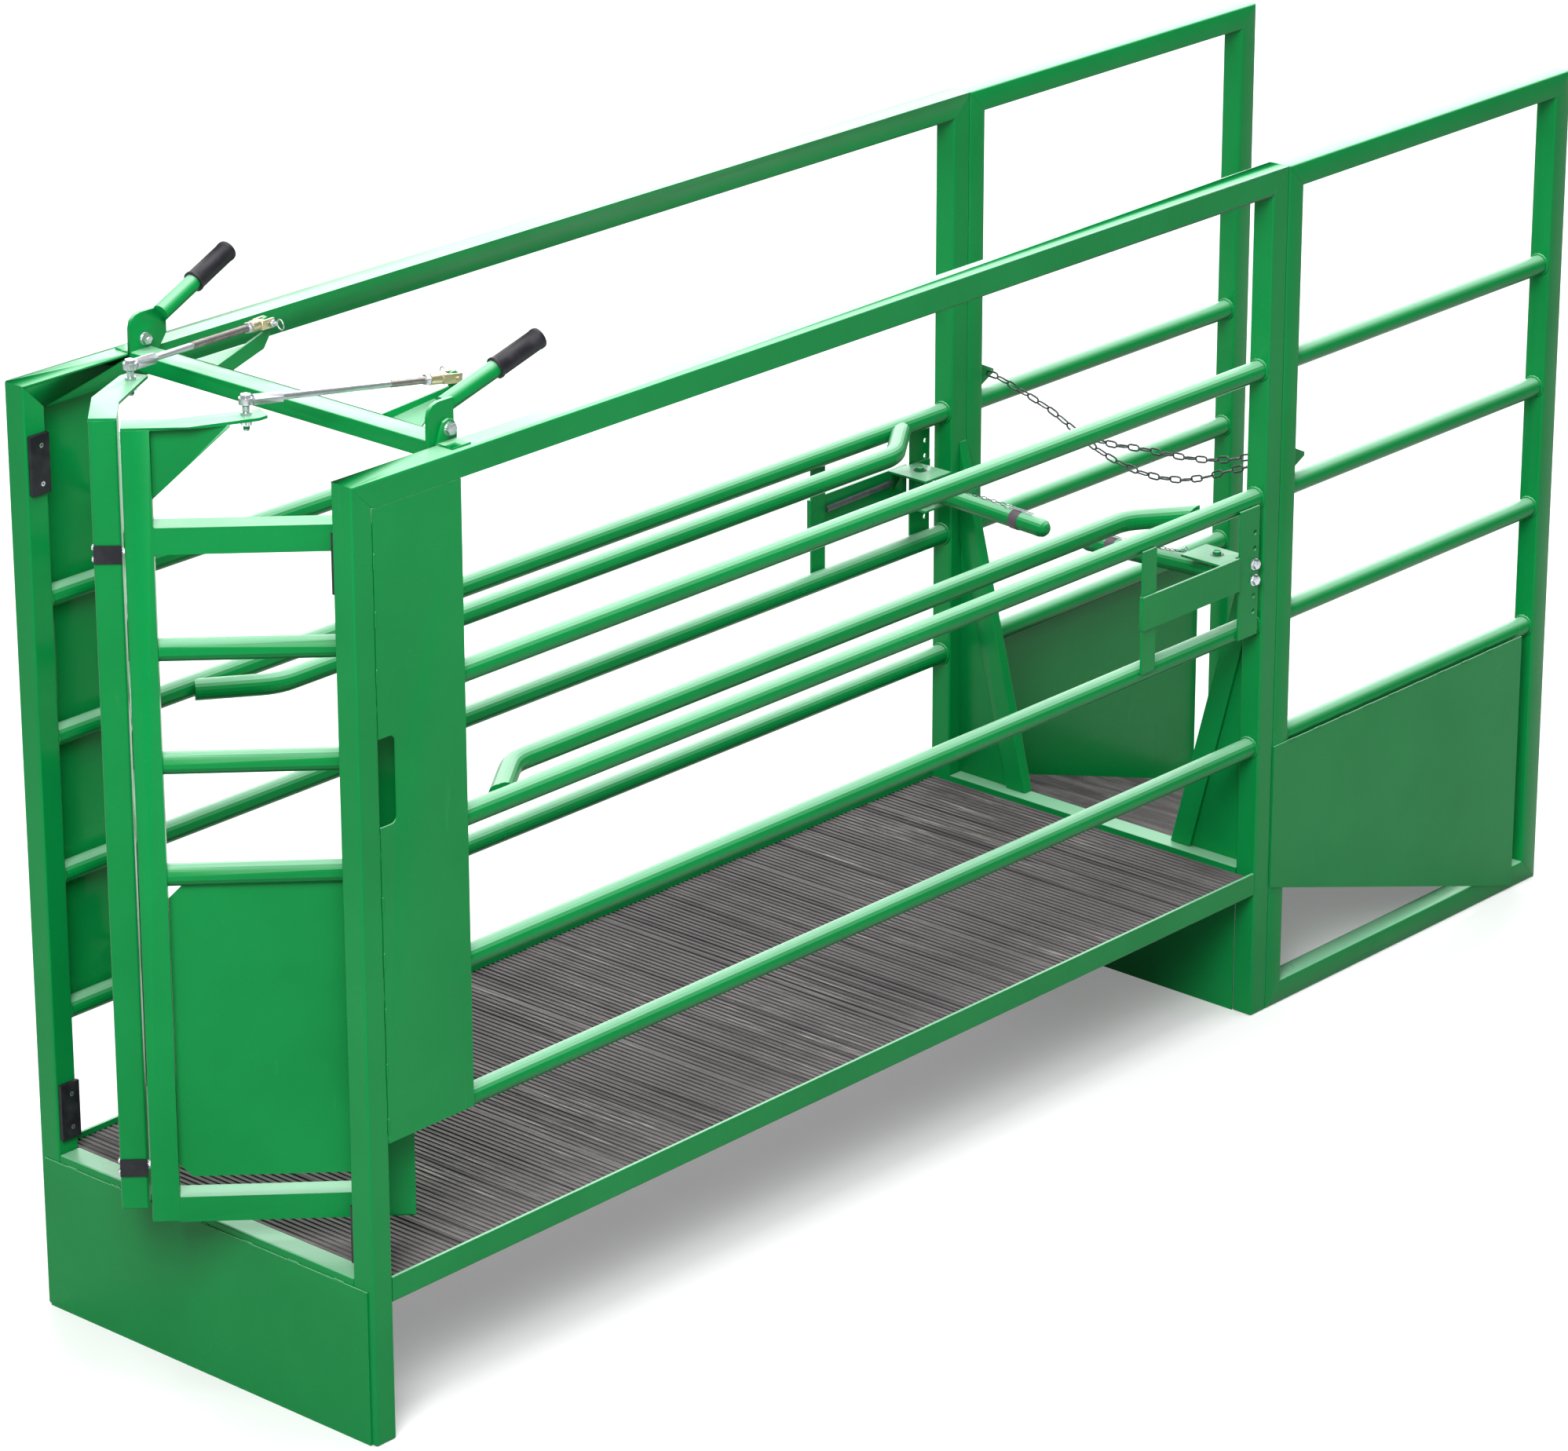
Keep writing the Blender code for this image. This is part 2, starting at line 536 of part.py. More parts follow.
def make_wing(name, side, paint):
    """Slanted brace and its sheet, which lead the animal in between the rear posts."""
    foot = FLOOR_TOP + FIT
    wall = INNER - FIT
    foot_outer = INNER - WING_FOOT_OUTER
    foot_inner = INNER - WING_FOOT_INNER

    def height(out, start):
        return foot + (out - start) / math.tan(WING_LEAN)

    outer_z = height(wall, foot_outer)
    inner_z = height(wall, foot_inner)
    back = BODY_LENGTH
    brace = prism([(back, side * foot_inner, foot), (back, side * foot_outer, foot),
                   (back, side * wall, outer_z), (back, side * wall, inner_z)], (-WING_DEPTH, 0, 0))
    sheet_x = back - WING_DEPTH / 2
    sheet = prism([(sheet_x, side * (foot_outer - LAP), foot), (sheet_x, side * wall, foot),
                   (sheet_x, side * wall, outer_z + LAP / math.tan(WING_LEAN))], (-SHEET, 0, 0))
    place(f"{name}_entry_wing", fuse(brace, sheet), paint)


def make_tail(name, side, paint):
    """Panel of the ramp tail: a mitred square frame, four round rails and the chain's keeper."""
    x0, x1 = TAIL_FRONT, TAIL_END
    outer = side_prism(side, [(x0, 0), (x1, 0), (x1, HEIGHT), (x0, HEIGHT)], INNER, HALF_WIDTH)
    window = side_prism(side, [(x0 + TUBE, TUBE), (x1 - TUBE, TUBE), (x1 - TUBE, HEIGHT - TUBE),
                               (x0 + TUBE, HEIGHT - TUBE)], INNER - LAP, HALF_WIDTH + LAP)
    ring = cut(outer, window)
    rails = [sweep([(x0 + TUBE / 2, side * MIDDLE, z), (x1 - TUBE / 2, side * MIDDLE, z)], RAIL_R, 16)
             for z in RAILS_Z]
    post = x0 + TUBE
    keeper = side_prism(side, [(post - LAP, KEEPER_Z - KEEPER_HIGH / 2),
                               (post - LAP, KEEPER_Z + KEEPER_HIGH / 2),
                               (post + KEEPER_LENGTH, KEEPER_Z)], MIDDLE - LAP, MIDDLE)
    place(f"{name}_tail_panel", fuse(ring, *rails, keeper), paint)
    end = x1 - TUBE - TAIL_SHEET_END_GAP
    sheet = [(x0 + FIT, TAIL_SHEET_FRONT_LOW), (end, TAIL_SHEET_REAR_LOW), (end, TAIL_SHEET_TOP),
             (x0 + FIT, TAIL_SHEET_TOP)]
    place(f"{name}_tail_sheet",
          side_prism(side, sheet, HALF_WIDTH + FIT, HALF_WIDTH + FIT + SHEET), paint)


def make_floor(paint, board, mat):
    """Cross members, deck, front skirt and ramp."""
    wall = INNER - FIT
    front = block((0, -wall, FLOOR_LOW), (TUBE, wall, FLOOR_TOP))
    place("front_cross_member", front, paint)
    rear = block((REAR_POST, -wall, FLOOR_LOW), (BODY_LENGTH, wall, FLOOR_TOP))
    riser = block((REAR_POST, -wall, 0), (REAR_POST + SHEET, wall, FLOOR_LOW + LAP / 2))
    place("rear_cross_member", fuse(rear, riser), paint)
    deck = block((TUBE + FIT, -DECK_OUT, DECK_TOP - DECK_THICK), (REAR_POST - FIT, DECK_OUT, DECK_TOP))
    place("deck", deck, board)
    edge = HALF_WIDTH - SKIRT_SET_IN
    skirt = block((-SHEET - FIT, -edge, 0), (-FIT, edge, FLOOR_TOP - SKIRT_DROP))
    place("front_skirt", skirt, paint)
    top = BODY_LENGTH + FIT
    toe = TAIL_END - TUBE
    ramp = prism([(top, -wall, DECK_TOP - RAMP_THICK), (top, -wall, DECK_TOP), (toe, -wall, RAMP_TOE),
                  (toe, -wall, 0), (toe - RAMP_THICK, -wall, 0)], (0, 2 * wall, 0))
    place("ramp", ramp, mat)


def make_gate(name, side, paint, rubber):
    """Gate leaf with its barrels and crank plate, its sheet and the pads that stop it."""
    pivot = leaf_point(side, 0, 0, 0)
    back, front = GATE_BACK_FACE, GATE_FRONT_FACE
    edge, tip = GATE_HINGE_GAP, GATE_TIP_U
    low, high = GATE_LOW, GATE_HIGH
    stile_in = tip - TUBE
    hinge_in = edge + TUBE
    lap = LAP
    seam = GATE_SEAM
    pieces = [
        leaf_prism(side, [(edge, low), (hinge_in, low), (hinge_in, GATE_UPPER_TOP), (edge, GATE_UPPER_TOP)],
                   back, front),
        leaf_prism(side, [(stile_in, low), (tip, low), (tip, high), (stile_in, high)], back, front),
        leaf_prism(side, [(hinge_in - lap, low + seam), (stile_in + lap, low + seam),
                          (stile_in + lap, low + TUBE), (hinge_in - lap, low + TUBE)],
                   back + seam, front - seam),
        leaf_prism(side, [(hinge_in - lap, GATE_UPPER_TOP - TUBE), (stile_in + lap, GATE_UPPER_TOP - TUBE),
                          (stile_in + lap, GATE_UPPER_TOP - seam), (hinge_in - lap, GATE_UPPER_TOP - seam)],
                   back + seam, front - seam),
    ]
    for z in GATE_RAILS_Z:
        pieces.append(sweep([leaf_point(side, hinge_in - lap, GATE_MIDDLE, z),
                             leaf_point(side, stile_in + lap, GATE_MIDDLE, z)], RAIL_R, 16))
    drop = CRANK_RUN * math.tan(CRANK_SWEEP)
    nose = CRANK_NOSE
    crank = [(tip - seam, back + seam), (tip - seam, front - seam), (CRANK_BEND_U - nose, front - seam),
             (CRANK_END_U + nose / 2, front - drop), (CRANK_END_U - nose / 2, front - drop - nose),
             (CRANK_END_U + nose / 2, back - drop), (CRANK_BEND_U + nose, back + seam)]
    pieces.append(leaf_plate(side, crank, CRANK_Z, CRANK_TOP))
    gusset_end = stile_in - GUSSET_RUN
    gusset = [(stile_in + lap, CRANK_Z + seam), (gusset_end, CRANK_Z + seam),
              (gusset_end, high - GUSSET_NOSE), (stile_in + lap, high - GUSSET_DROP)]
    pieces.append(leaf_prism(side, gusset, GATE_MIDDLE - PLATE / 2, GATE_MIDDLE + PLATE / 2))
    stud = leaf_point(side, STUD_U, STUD_V, CRANK_TOP - seam)
    seat = leaf_point(side, STUD_U, STUD_V, BALL_Z - BALL_R - FIT)
    pieces.append(sweep([stud, seat], STUD_R, 16))
    pieces.append(sweep([stud, stud + Vector((0, 0, LAP))], STUD_R * 1.5, 16))
    under = leaf_point(side, STUD_U, STUD_V, CRANK_Z + seam)
    pieces.append(hex_head(under, (0, 0, -1), STUD_R * 3, STUD_R * 2))
    pieces.append(sweep([under, under - Vector((0, 0, STUD_R * 3.5))], STUD_R, 12))
    holes = []
    for z in HINGE_LEVELS:
        pieces.append(upright(pivot.x, pivot.y, z + FIT, z + HINGE_BARREL_H, HINGE_BARREL_R))
        holes.append(upright(pivot.x, pivot.y, z - LAP, z + HINGE_BARREL_H + LAP,
                             HINGE_PIN_R + HINGE_PLAY))
    place(f"{name}_gate_frame", cut(fuse(*pieces), *holes), paint, pivot)

    corner = GATE_SHEET_CORNER
    left, right = hinge_in + FIT, stile_in - FIT
    bottom, top = low + GATE_SHEET_LIFT, GATE_RAILS_Z[-1] - RAIL_R - FIT
    sheet = [(left, bottom), (right - corner, bottom), (right, bottom + corner), (right, top - corner),
             (right - corner, top), (left, top)]
    place(f"{name}_gate_sheet",
          leaf_prism(side, sheet, GATE_MIDDLE - SHEET / 2, GATE_MIDDLE + SHEET / 2), paint, pivot)

    for label, z in zip(("lower", "upper"), PAD_LEVELS):
        pad = side_block(side, PAD_FRONT, PAD_FRONT + PAD_WIDTH, INNER - FIT - PAD_THICK, INNER - FIT,
                         z, z + PAD_HIGH)
        place(f"{name}_{label}_post_pad", pad, rubber)


def make_gate_straps(rubber):
    """Rubber straps on the end of the far leaf, where the two leaves meet."""
    side = SIDES["far"]
    pivot = leaf_point(side, 0, 0, 0)
    for label, z in zip(("lower", "upper"), STRAP_LEVELS):
        u0, u1 = GATE_TIP_U + FIT, STRAP_U
        outline = [(u0, z - STRAP_HIGH / 2), (u1, z - STRAP_HIGH / 2), (u1, z + STRAP_HIGH / 2),
                   (u0, z + STRAP_HIGH / 2)]
        strap = leaf_prism(side, outline, GATE_BACK_FACE, GATE_FRONT_FACE)
        place(f"{label}_gate_strap", strap, rubber, pivot)


def clevis_point(side):
    return Vector((CLEVIS_X, side * CLEVIS_OUT, CLEVIS_Z))


def arm_direction(side):
    """Level direction from the cross bar along a lever arm."""
    run = Vector((CLEVIS_X - CROSS_BAR_REAR, side * (CLEVIS_OUT - ARM_OUT), 0))
    return run.normalized()


def yoke_outline(name):
    """Side view of a yoke plate: a narrow bar on the near side, a wide plate on the far side."""
    front = LEVER_X - YOKE_FRONT_REACH[name]
    rear = LEVER_X + YOKE_REAR_REACH[name]
    foot = CROSS_BAR_LOW + LAP
    top = LEVER_Z + YOKE_TOP
    corners = [(front + YOKE_ROUND, range(3, 7))]
    if name == "near":
        outline = [(front, foot), (rear, foot), (rear, top)]
    else:
        outline = [(front - LAP / 4, foot), (CROSS_BAR_REAR + LAP, foot), (rear, LEVER_Z)]
        corners.insert(0, (rear - YOKE_ROUND, range(0, 4)))
    for centre_x, turns in corners:
        outline += [(centre_x + YOKE_ROUND * math.cos(math.radians(30 * i)),
                     top - YOKE_ROUND + YOKE_ROUND * math.sin(math.radians(30 * i))) for i in turns]
    return outline


def make_lever(paint, rubber):
    """Cross shaft with its yoke plates, handles and the two arms that pull the gates."""
    pivot = Vector((LEVER_X, 0, LEVER_Z))
    bar_rear = CROSS_BAR_REAR
    end = YOKE_OUT + LAP / 2
    pieces = [block((CROSS_BAR_X, -end, CROSS_BAR_LOW), (bar_rear, end, CROSS_BAR_HIGH))]
    holes = []
    grips = []
    for name, side in SIDES.items():
        pieces.append(side_prism(side, yoke_outline(name), YOKE_OUT, YOKE_OUT + YOKE_THICK))
        bore_in, bore_out = YOKE_OUT - YOKE_THICK * 2, YOKE_OUT + YOKE_THICK * 2
        holes.append(sweep([(LEVER_X, side * bore_in, LEVER_Z), (LEVER_X, side * bore_out, LEVER_Z)],
                           PIVOT_R + PIVOT_PLAY, 20))
        root_out = YOKE_OUT - YOKE_THICK
        start = Vector((LEVER_X + HANDLE_START[0], side * root_out, LEVER_Z + HANDLE_START[1]))
        tip = Vector((LEVER_X + HANDLE_TIP[0], side * (root_out + HANDLE_SPLAY), LEVER_Z + HANDLE_TIP[1]))
        along = (tip - start).normalized()
        pieces.append(sweep([start - along * HANDLE_ROOT[name], tip - along * LAP], HANDLE_DIA / 2, 20))
        grip = sweep([tip - along * GRIP_LENGTH, tip], GRIP_DIA / 2, 20)
        bore = sweep([tip - along * (GRIP_LENGTH + LAP), tip - along * (LAP - FIT)],
                     HANDLE_DIA / 2 + FIT, 20)
        grips.append((name, cut(grip, bore)))

        clevis = clevis_point(side)
        run = arm_direction(side)
        across = Vector((-run.y, run.x, 0)).normalized() * ARM_PLATE
        root = Vector((bar_rear, side * ARM_OUT, 0)) - run * LAP

        def web_point(distance, z):
            point = root + run * distance
            return Vector((point.x, point.y, z)) - across / 2

        reach = (Vector((clevis.x, clevis.y, 0)) - root).length
        eye = CLEVIS_EYE_R
        round_end = [(reach + eye * math.cos(a), clevis.z + eye * math.sin(a))
                     for a in (math.radians(20 * i) for i in range(10))]
        seam = LAP / 4
        web = [(0, CROSS_BAR_LOW + seam), (reach - eye, CROSS_BAR_LOW + ARM_LIFT),
               (reach + eye, CROSS_BAR_LOW + ARM_LIFT * 2)] + round_end + \
              [(reach - eye, CROSS_BAR_HIGH + ARM_LIFT), (0, CROSS_BAR_HIGH - seam)]
        pieces.append(prism([web_point(d, z) for d, z in web], across))
        flange_low = CROSS_BAR_LOW + CROSS_BAR_THICK / 3
        flange_end = clevis.x - CLEVIS_EYE_R * 4
        flange = [(bar_rear - LAP, side * ARM_OUT, flange_low),
                  (bar_rear - LAP, side * ARM_FLANGE_OUT, flange_low),
                  (flange_end, side * (CLEVIS_OUT + ARM_PLATE), flange_low + ARM_LIFT),
                  (flange_end, side * (CLEVIS_OUT - ARM_PLATE * 2), flange_low + ARM_LIFT)]
        pieces.append(prism(flange, (0, 0, PLATE)))
        holes.append(sweep([clevis - across * 3, clevis + across * 3],
                           CLEVIS_PIN_R + CLEVIS_HOLE_PLAY, 16))
    place("lever", cut(fuse(*pieces), *holes), paint, pivot)
    for name, grip in grips:
        place(f"{name}_lever_grip", grip, rubber, pivot)


def ball_point(side):
    return leaf_point(side, STUD_U, STUD_V, BALL_Z)


def make_link(name, side, silver, zinc):
    """Adjustable rod from a lever arm to a gate's crank: clevis, threaded rod and rod end."""
    clevis = clevis_point(side)
    ball = ball_point(side)
    along = (ball - clevis).normalized()
    pin_axis = Vector((along.y, -along.x, 0)).normalized()
    up = pin_axis.cross(along).normalized()
    if up.z < 0:
        up = -up
    half = CLEVIS_SLOT / 2 + CLEVIS_CHEEK
    root = CLEVIS_EYE_R + CLEVIS_THROAT
    body_end = root + CLEVIS_CHEEK * 3
    tail = -CLEVIS_EYE_R

    slot = CLEVIS_SLOT / 2
    outline = [(tail, half), (body_end, half), (body_end, -half), (tail, -half), (tail, -slot),
               (root, -slot), (root, slot), (tail, slot)]
    fork = prism([clevis + along * s + pin_axis * w - up * CLEVIS_HIGH / 2 for s, w in outline],
                 up * CLEVIS_HIGH)
    neck_end = body_end + CLEVIS_NECK
    neck = sweep([clevis + along * (body_end - FIT * 4), clevis + along * neck_end], CLEVIS_EYE_R, 20)
    end = half + CLEVIS_PIN_PAST
    pin = sweep([clevis - pin_axis * end, clevis + pin_axis * end], CLEVIS_PIN_R, 16)
    place(f"{name}_link_clevis", fuse(fork, neck, pin), zinc, clevis)

    start = neck_end + FIT
    length = (ball - clevis).length
    end_body = length - ROD_END_R - ROD_END_FERRULE
    rod = sweep([clevis + along * start, clevis + along * (length - LAP)], ROD_DIA / 2, 16)
    nut_across, nut_thick = ROD_NUT
    lock = hex_head(clevis + along * start, along, nut_across, nut_thick)
    ferrule = hex_head(clevis + along * end_body, along, ROD_END_R * 1.5, ROD_END_FERRULE)
    half_ring = Vector((0, 0, ROD_END_HALF))
    joint = sweep([ball - half_ring, ball + half_ring], ROD_END_R, 24)
    turns = [math.radians(15 * i - 90) for i in range(1, 12)]
    globe = sweep([ball + Vector((0, 0, BALL_R * math.sin(t))) for t in turns], BALL_R, 20,
                  [BALL_R * math.cos(t) for t in turns])
    head = hex_head(ball + half_ring, (0, 0, 1), STUD_R * 3, STUD_R)
    place(f"{name}_link_rod", fuse(rod, lock, ferrule, joint, globe, head), silver, clevis)


def make_anti_back(name, side, paint, dark_paint, silver):
    """Anti-back bar with its bracket, guide, adjuster and return spring."""
    outer = HALF_WIDTH - LAP
    guide = side_block(side, GUIDE_FRONT, GUIDE_FRONT + GUIDE_WIDTH, outer, outer + PLATE,
                       RAILS_Z[2] + GUIDE_TO_RAIL, RAILS_Z[1] - GUIDE_TO_RAIL)
    place(f"{name}_bar_guide", guide, paint)

    adjuster = side_block(side, ADJUSTER_FRONT, ADJUSTER_REAR, outer, outer + PLATE,
                          ADJUSTER_LOW, ADJUSTER_HIGH)
    hole_x = (ADJUSTER_REAR + ADJUSTER_FRONT) / 2 + ADJUSTER_HOLE_SET_BACK
    levels = [ADJUSTER_BOLT_Z + ADJUSTER_PITCH * i for i in range(-3, 3)]
    holes = [sweep([(hole_x, side * (outer - PLATE * 2), z), (hole_x, side * (outer + PLATE * 3), z)],
                   ADJUSTER_HOLE_R, 12) for z in levels]
    place(f"{name}_adjuster_plate", cut(adjuster, *holes), paint)

    strap_out = outer + PLATE + FIT
    tab = outer - FIT
    strap = side_block(side, STRAP_FRONT, STRAP_REAR, strap_out, strap_out + PLATE, BRACKET_LOW, BRACKET_HIGH)
    pieces = [strap]
    for z in (BRACKET_LOW, BRACKET_HIGH - PLATE):
        pieces.append(side_block(side, FLANGE_FRONT, FLANGE_REAR - FLANGE_STEP,
                                 tab - LAP / 2, strap_out + LAP / 2, z + FIT, z + PLATE - FIT))
        pieces.append(side_block(side, FLANGE_FRONT, FLANGE_REAR, BAR_PIVOT_OUT - FLANGE_REACH, tab,
                                 z, z + PLATE))
    pieces.append(side_block(side, FLANGE_FRONT + FLANGE_BACK_FROM, ADJUSTER_REAR - LAP,
                             tab - PLATE, tab - FIT, BRACKET_LOW + FIT, BRACKET_HIGH - FIT))
    pieces.append(upright(BAR_PIVOT_X, side * BAR_PIVOT_OUT, BRACKET_LOW + LAP / 4,
                          BRACKET_HIGH + BAR_PIN_PAST, BAR_PIN_R))
    across, thick = ADJUSTER_BOLT
    for i in (-1, 0):
        z = ADJUSTER_BOLT_Z + ADJUSTER_PITCH * i
        pieces.append(sweep([(hole_x, side * (tab - LAP), z), (hole_x, side * (outer + PLATE + LAP), z)],
                            ADJUSTER_HOLE_R - ADJUSTER_PLAY, 12))
        pieces.append(hex_head((hole_x, side * (outer + PLATE + FIT), z), (0, side, 0), across, thick))
    place(f"{name}_bar_bracket", fuse(*pieces), paint)

    pivot = Vector((BAR_PIVOT_X, side * BAR_PIVOT_OUT, BAR_Z))
    tip = Vector((BAR_PIVOT_X, side * BAR_TIP_OUT, BAR_Z - BAR_DROOP))
    inward = (tip - pivot).normalized()
    cap = BAR_DIA / 2
    route = [pivot] + [tip - inward * cap * (1 - along) for along, size in BAR_TIP_SHAPE]
    radii = [cap] + [cap * size for along, size in BAR_TIP_SHAPE]
    bar = sweep(route, cap, 20, radii)
    gap = FIT + HINGE_PLAY
    sleeve = upright(pivot.x, pivot.y, BRACKET_LOW + PLATE + gap, BRACKET_HIGH - PLATE - gap,
                     BAR_SLEEVE_R)
    hole = upright(pivot.x, pivot.y, BRACKET_LOW, BRACKET_HIGH, BAR_PIN_R + HINGE_PLAY)
    place(f"{name}_anti_back_bar", cut(fuse(bar, sleeve), hole), dark_paint, pivot)

    spring_out = strap_out - SPRING_DIA / 2 - FIT
    spring_x = GUIDE_FRONT + GUIDE_WIDTH + FIT
    spring = sweep([(spring_x, side * spring_out, BAR_Z + SPRING_RISE[0]),
                    (FLANGE_FRONT - FIT, side * spring_out, BAR_Z + SPRING_RISE[1])], SPRING_DIA / 2, 16)
    place(f"{name}_return_spring", spring, silver)


def smooth_route(points, steps):
    """Catmull-Rom points through the route."""
    pts = [Vector((CHAIN_X, y, z)) for y, z in points]
    pts = [pts[0] * 2 - pts[1]] + pts + [pts[-1] * 2 - pts[-2]]
    route = []
    for a, b, c, d in zip(pts, pts[1:], pts[2:], pts[3:]):
        for i in range(steps):
            t = i / steps
            route.append(0.5 * ((2 * b) + (c - a) * t + (2 * a - 5 * b + 4 * c - d) * t * t
                                + (3 * b - a - 3 * c + d) * t * t * t))
    route.append(pts[-2])
    return route


def make_chain(name, points, steps, steel):
    """Chain across the entry, as a tube along its route."""
    curve = bpy.data.curves.new(name, "CURVE")
    curve.dimensions = "3D"
    curve.bevel_depth = CHAIN_DIA / 2
    curve.bevel_resolution = 2
    curve.use_fill_caps = True
    route = smooth_route(points, steps)
    spline = curve.splines.new("POLY")
    spline.points.add(len(route) - 1)
    for point, here in zip(spline.points, route):
        point.co = (*here, 1.0)
    curve.materials.append(steel)
    item = bpy.data.objects.new(name, curve)
    item.location = (SHIFT, 0, 0)
    bpy.context.scene.collection.objects.link(item)


def main():
    clear_scene()
    paint = material("green_paint", (0.005, 0.235, 0.060), 0.30, 0.0)
    dark_paint = material("bar_paint", (0.005, 0.200, 0.055), 0.35, 0.0)
    board = material("deck_board", (0.070, 0.058, 0.062), 0.80, 0.0)
    mat = material("ramp_mat", (0.045, 0.042, 0.044), 0.80, 0.0)
    rubber = material("rubber", (0.020, 0.020, 0.022), 0.60, 0.0)
    silver = material("bright_steel", (0.560, 0.560, 0.540), 0.30, 1.0)
    zinc = material("yellow_zinc", (0.600, 0.520, 0.280), 0.35, 1.0)
    steel = material("chain_steel", (0.030, 0.045, 0.035), 0.40, 1.0)
    for name, side in SIDES.items():
        make_side_frame(name, side, paint)
        make_front_plate(name, side, paint)
        make_body_bar(name, side, paint)
        make_wing(name, side, paint)
        make_tail(name, side, paint)
        make_gate(name, side, paint, rubber)
        make_link(name, side, silver, zinc)
        make_anti_back(name, side, paint, dark_paint, silver)
    make_gate_straps(rubber)
    make_floor(paint, board, mat)
    make_lever(paint, rubber)
    make_chain("entry_chain", CHAIN_ROUTE, 3, steel)
    make_chain("entry_chain_tail", CHAIN_TAIL_ROUTE, 3, steel)


main()
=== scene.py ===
"""Stripping chute: finishes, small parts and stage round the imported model."""
import json
import math

import bmesh
import bpy
from mathutils import Matrix, Vector


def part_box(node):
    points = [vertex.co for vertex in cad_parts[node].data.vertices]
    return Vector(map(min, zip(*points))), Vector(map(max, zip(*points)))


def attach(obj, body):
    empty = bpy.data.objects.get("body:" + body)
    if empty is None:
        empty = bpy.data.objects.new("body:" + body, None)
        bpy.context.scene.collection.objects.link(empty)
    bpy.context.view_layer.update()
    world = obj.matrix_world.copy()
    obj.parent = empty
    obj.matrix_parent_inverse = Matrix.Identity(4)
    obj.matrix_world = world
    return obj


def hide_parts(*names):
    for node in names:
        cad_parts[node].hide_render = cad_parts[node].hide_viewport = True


bl_info = {
    "name": "Stripping chute",
    "version": (1, 0, 0),
    "blender": (4, 5, 0),
    "location": "3D View > Sidebar > Chute",
    "description": "Builds the dressed stripping chute piece by piece",
    "category": "Object",
}

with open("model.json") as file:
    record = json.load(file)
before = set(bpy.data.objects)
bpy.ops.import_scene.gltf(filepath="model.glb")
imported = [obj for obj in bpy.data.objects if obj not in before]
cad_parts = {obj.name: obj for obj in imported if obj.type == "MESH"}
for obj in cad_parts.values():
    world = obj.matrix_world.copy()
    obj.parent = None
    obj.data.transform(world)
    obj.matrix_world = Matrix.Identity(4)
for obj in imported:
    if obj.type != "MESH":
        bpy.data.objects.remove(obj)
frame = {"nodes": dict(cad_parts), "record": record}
BODY_OF = {node: body for body, nodes in frame["record"]["behaviour"]["bodies"].items() for node in nodes}

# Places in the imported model, in metres: x from the front faces of the front posts, out from the middle plane
SHIFT = -1.737503         # the model's own origin, from those faces
SIDES = {"near": -1, "far": 1}
POST = 0.0508             # square tube
RAIL_R = 0.0211           # round rail
HEIGHT = 1.8595           # top of the top rail
MIDDLE = 0.4223           # out to the middle of a side frame
RAILS_Z = (1.4341, 1.1581, 0.8821, 0.6061)
REAR_POST = 2.6062
TAIL_FRONT = 2.6573
TAIL_END = 3.640
KEEPER_RISE = 0.055       # chain's keeper above the second rail
KEEPER_LENGTH = 0.062
KEEPER_HALF = 0.035
KEEPER_THICK = 0.004
KEEPER_LAP = 0.002
MITRE_GAP = 0.00015
PLATE_OUT = 0.4476        # outer faces of the front plate and the tail sheet
SHEET_OUT = 0.4512
SLOT_LOW = 1.16           # clear of the hand slot
SLOT_HIGH = 1.42
SHEET_TOP = 0.6005        # upper edges of the tail sheet and the skirt
SKIRT_TOP = 0.3122
BOARD_GAP = 0.0022
BOARD_STEP = 0.0008       # every other board lies this much lower
GROOVE_DEPTH = 0.0028
RAMP_TOE = 0.018
RAMP_RIB = 0.0145
MAT_THICK = 0.006
MAT_LIFT = 0.0045
GATE_HINGE = (0.2115, 0.3684)
GATE_ANGLE = math.radians(44.5)   # closed leaf to the length of the chute
TIP_U = 0.49545           # hinge to the tip of a leaf
LEAF_FRONT = 0.0286       # hinge to the faces of a leaf
LEAF_BACK = -0.0222
PAD_SCREW_X = 0.0320
PAD_OUT = 0.38890
PAD_SCREWS_Z = (0.447, 0.379, 1.742, 1.668)
LEVER = Vector((0.290, 0, 1.885))         # its pivot
LUG_OUT = 0.4003
YOKE_OUT = 0.3846
HANDLE_ROOT = (0.034, 0.3769, 0.042)      # along, out and above the pivot
HANDLE_TIP = (0.232, 0.4019, 0.114)
GRIP_LENGTH = 0.110
CLEVIS = (0.462, 0.243, 1.905)            # pin of a link's clevis
BALL = (-1.69802, 0.148886, 1.9435)       # its ball joint, in the model's own frame
CRANK_UNDER = 1.9120
THREAD_START = 0.0628     # from the clevis pin
THREAD_LENGTH = {"near": 0.075, "far": 0.180}
BAR_PIVOT = (2.5082, 0.402, 1.0201)
BAR_TIP_OUT = 0.045
BAR_DROOP = 0.016         # its tip hangs below its pivot
BRACKET_TOP = 1.0562
STRAP_FRONT = 2.2032
STRAP_OUT = 0.4485
ADJUSTER_X = 2.5747
ADJUSTER_OUT = 0.4488
ADJUSTER_BOLTS_Z = (1.0286, 0.9941)
CHAIN_X = 2.748
CHAIN_WIDE = 0.0165       # across a link
PIN_CHAIN_WIDE = 0.0072
PIN_CHAIN_ROUTE = ((0.163, 0.0235), (0.180, 0.0238), (0.205, 0.0232), (0.232, 0.0232),   # out and above
                   (0.258, 0.0232), (0.282, 0.0236), (0.302, 0.0245), (0.318, 0.0290))
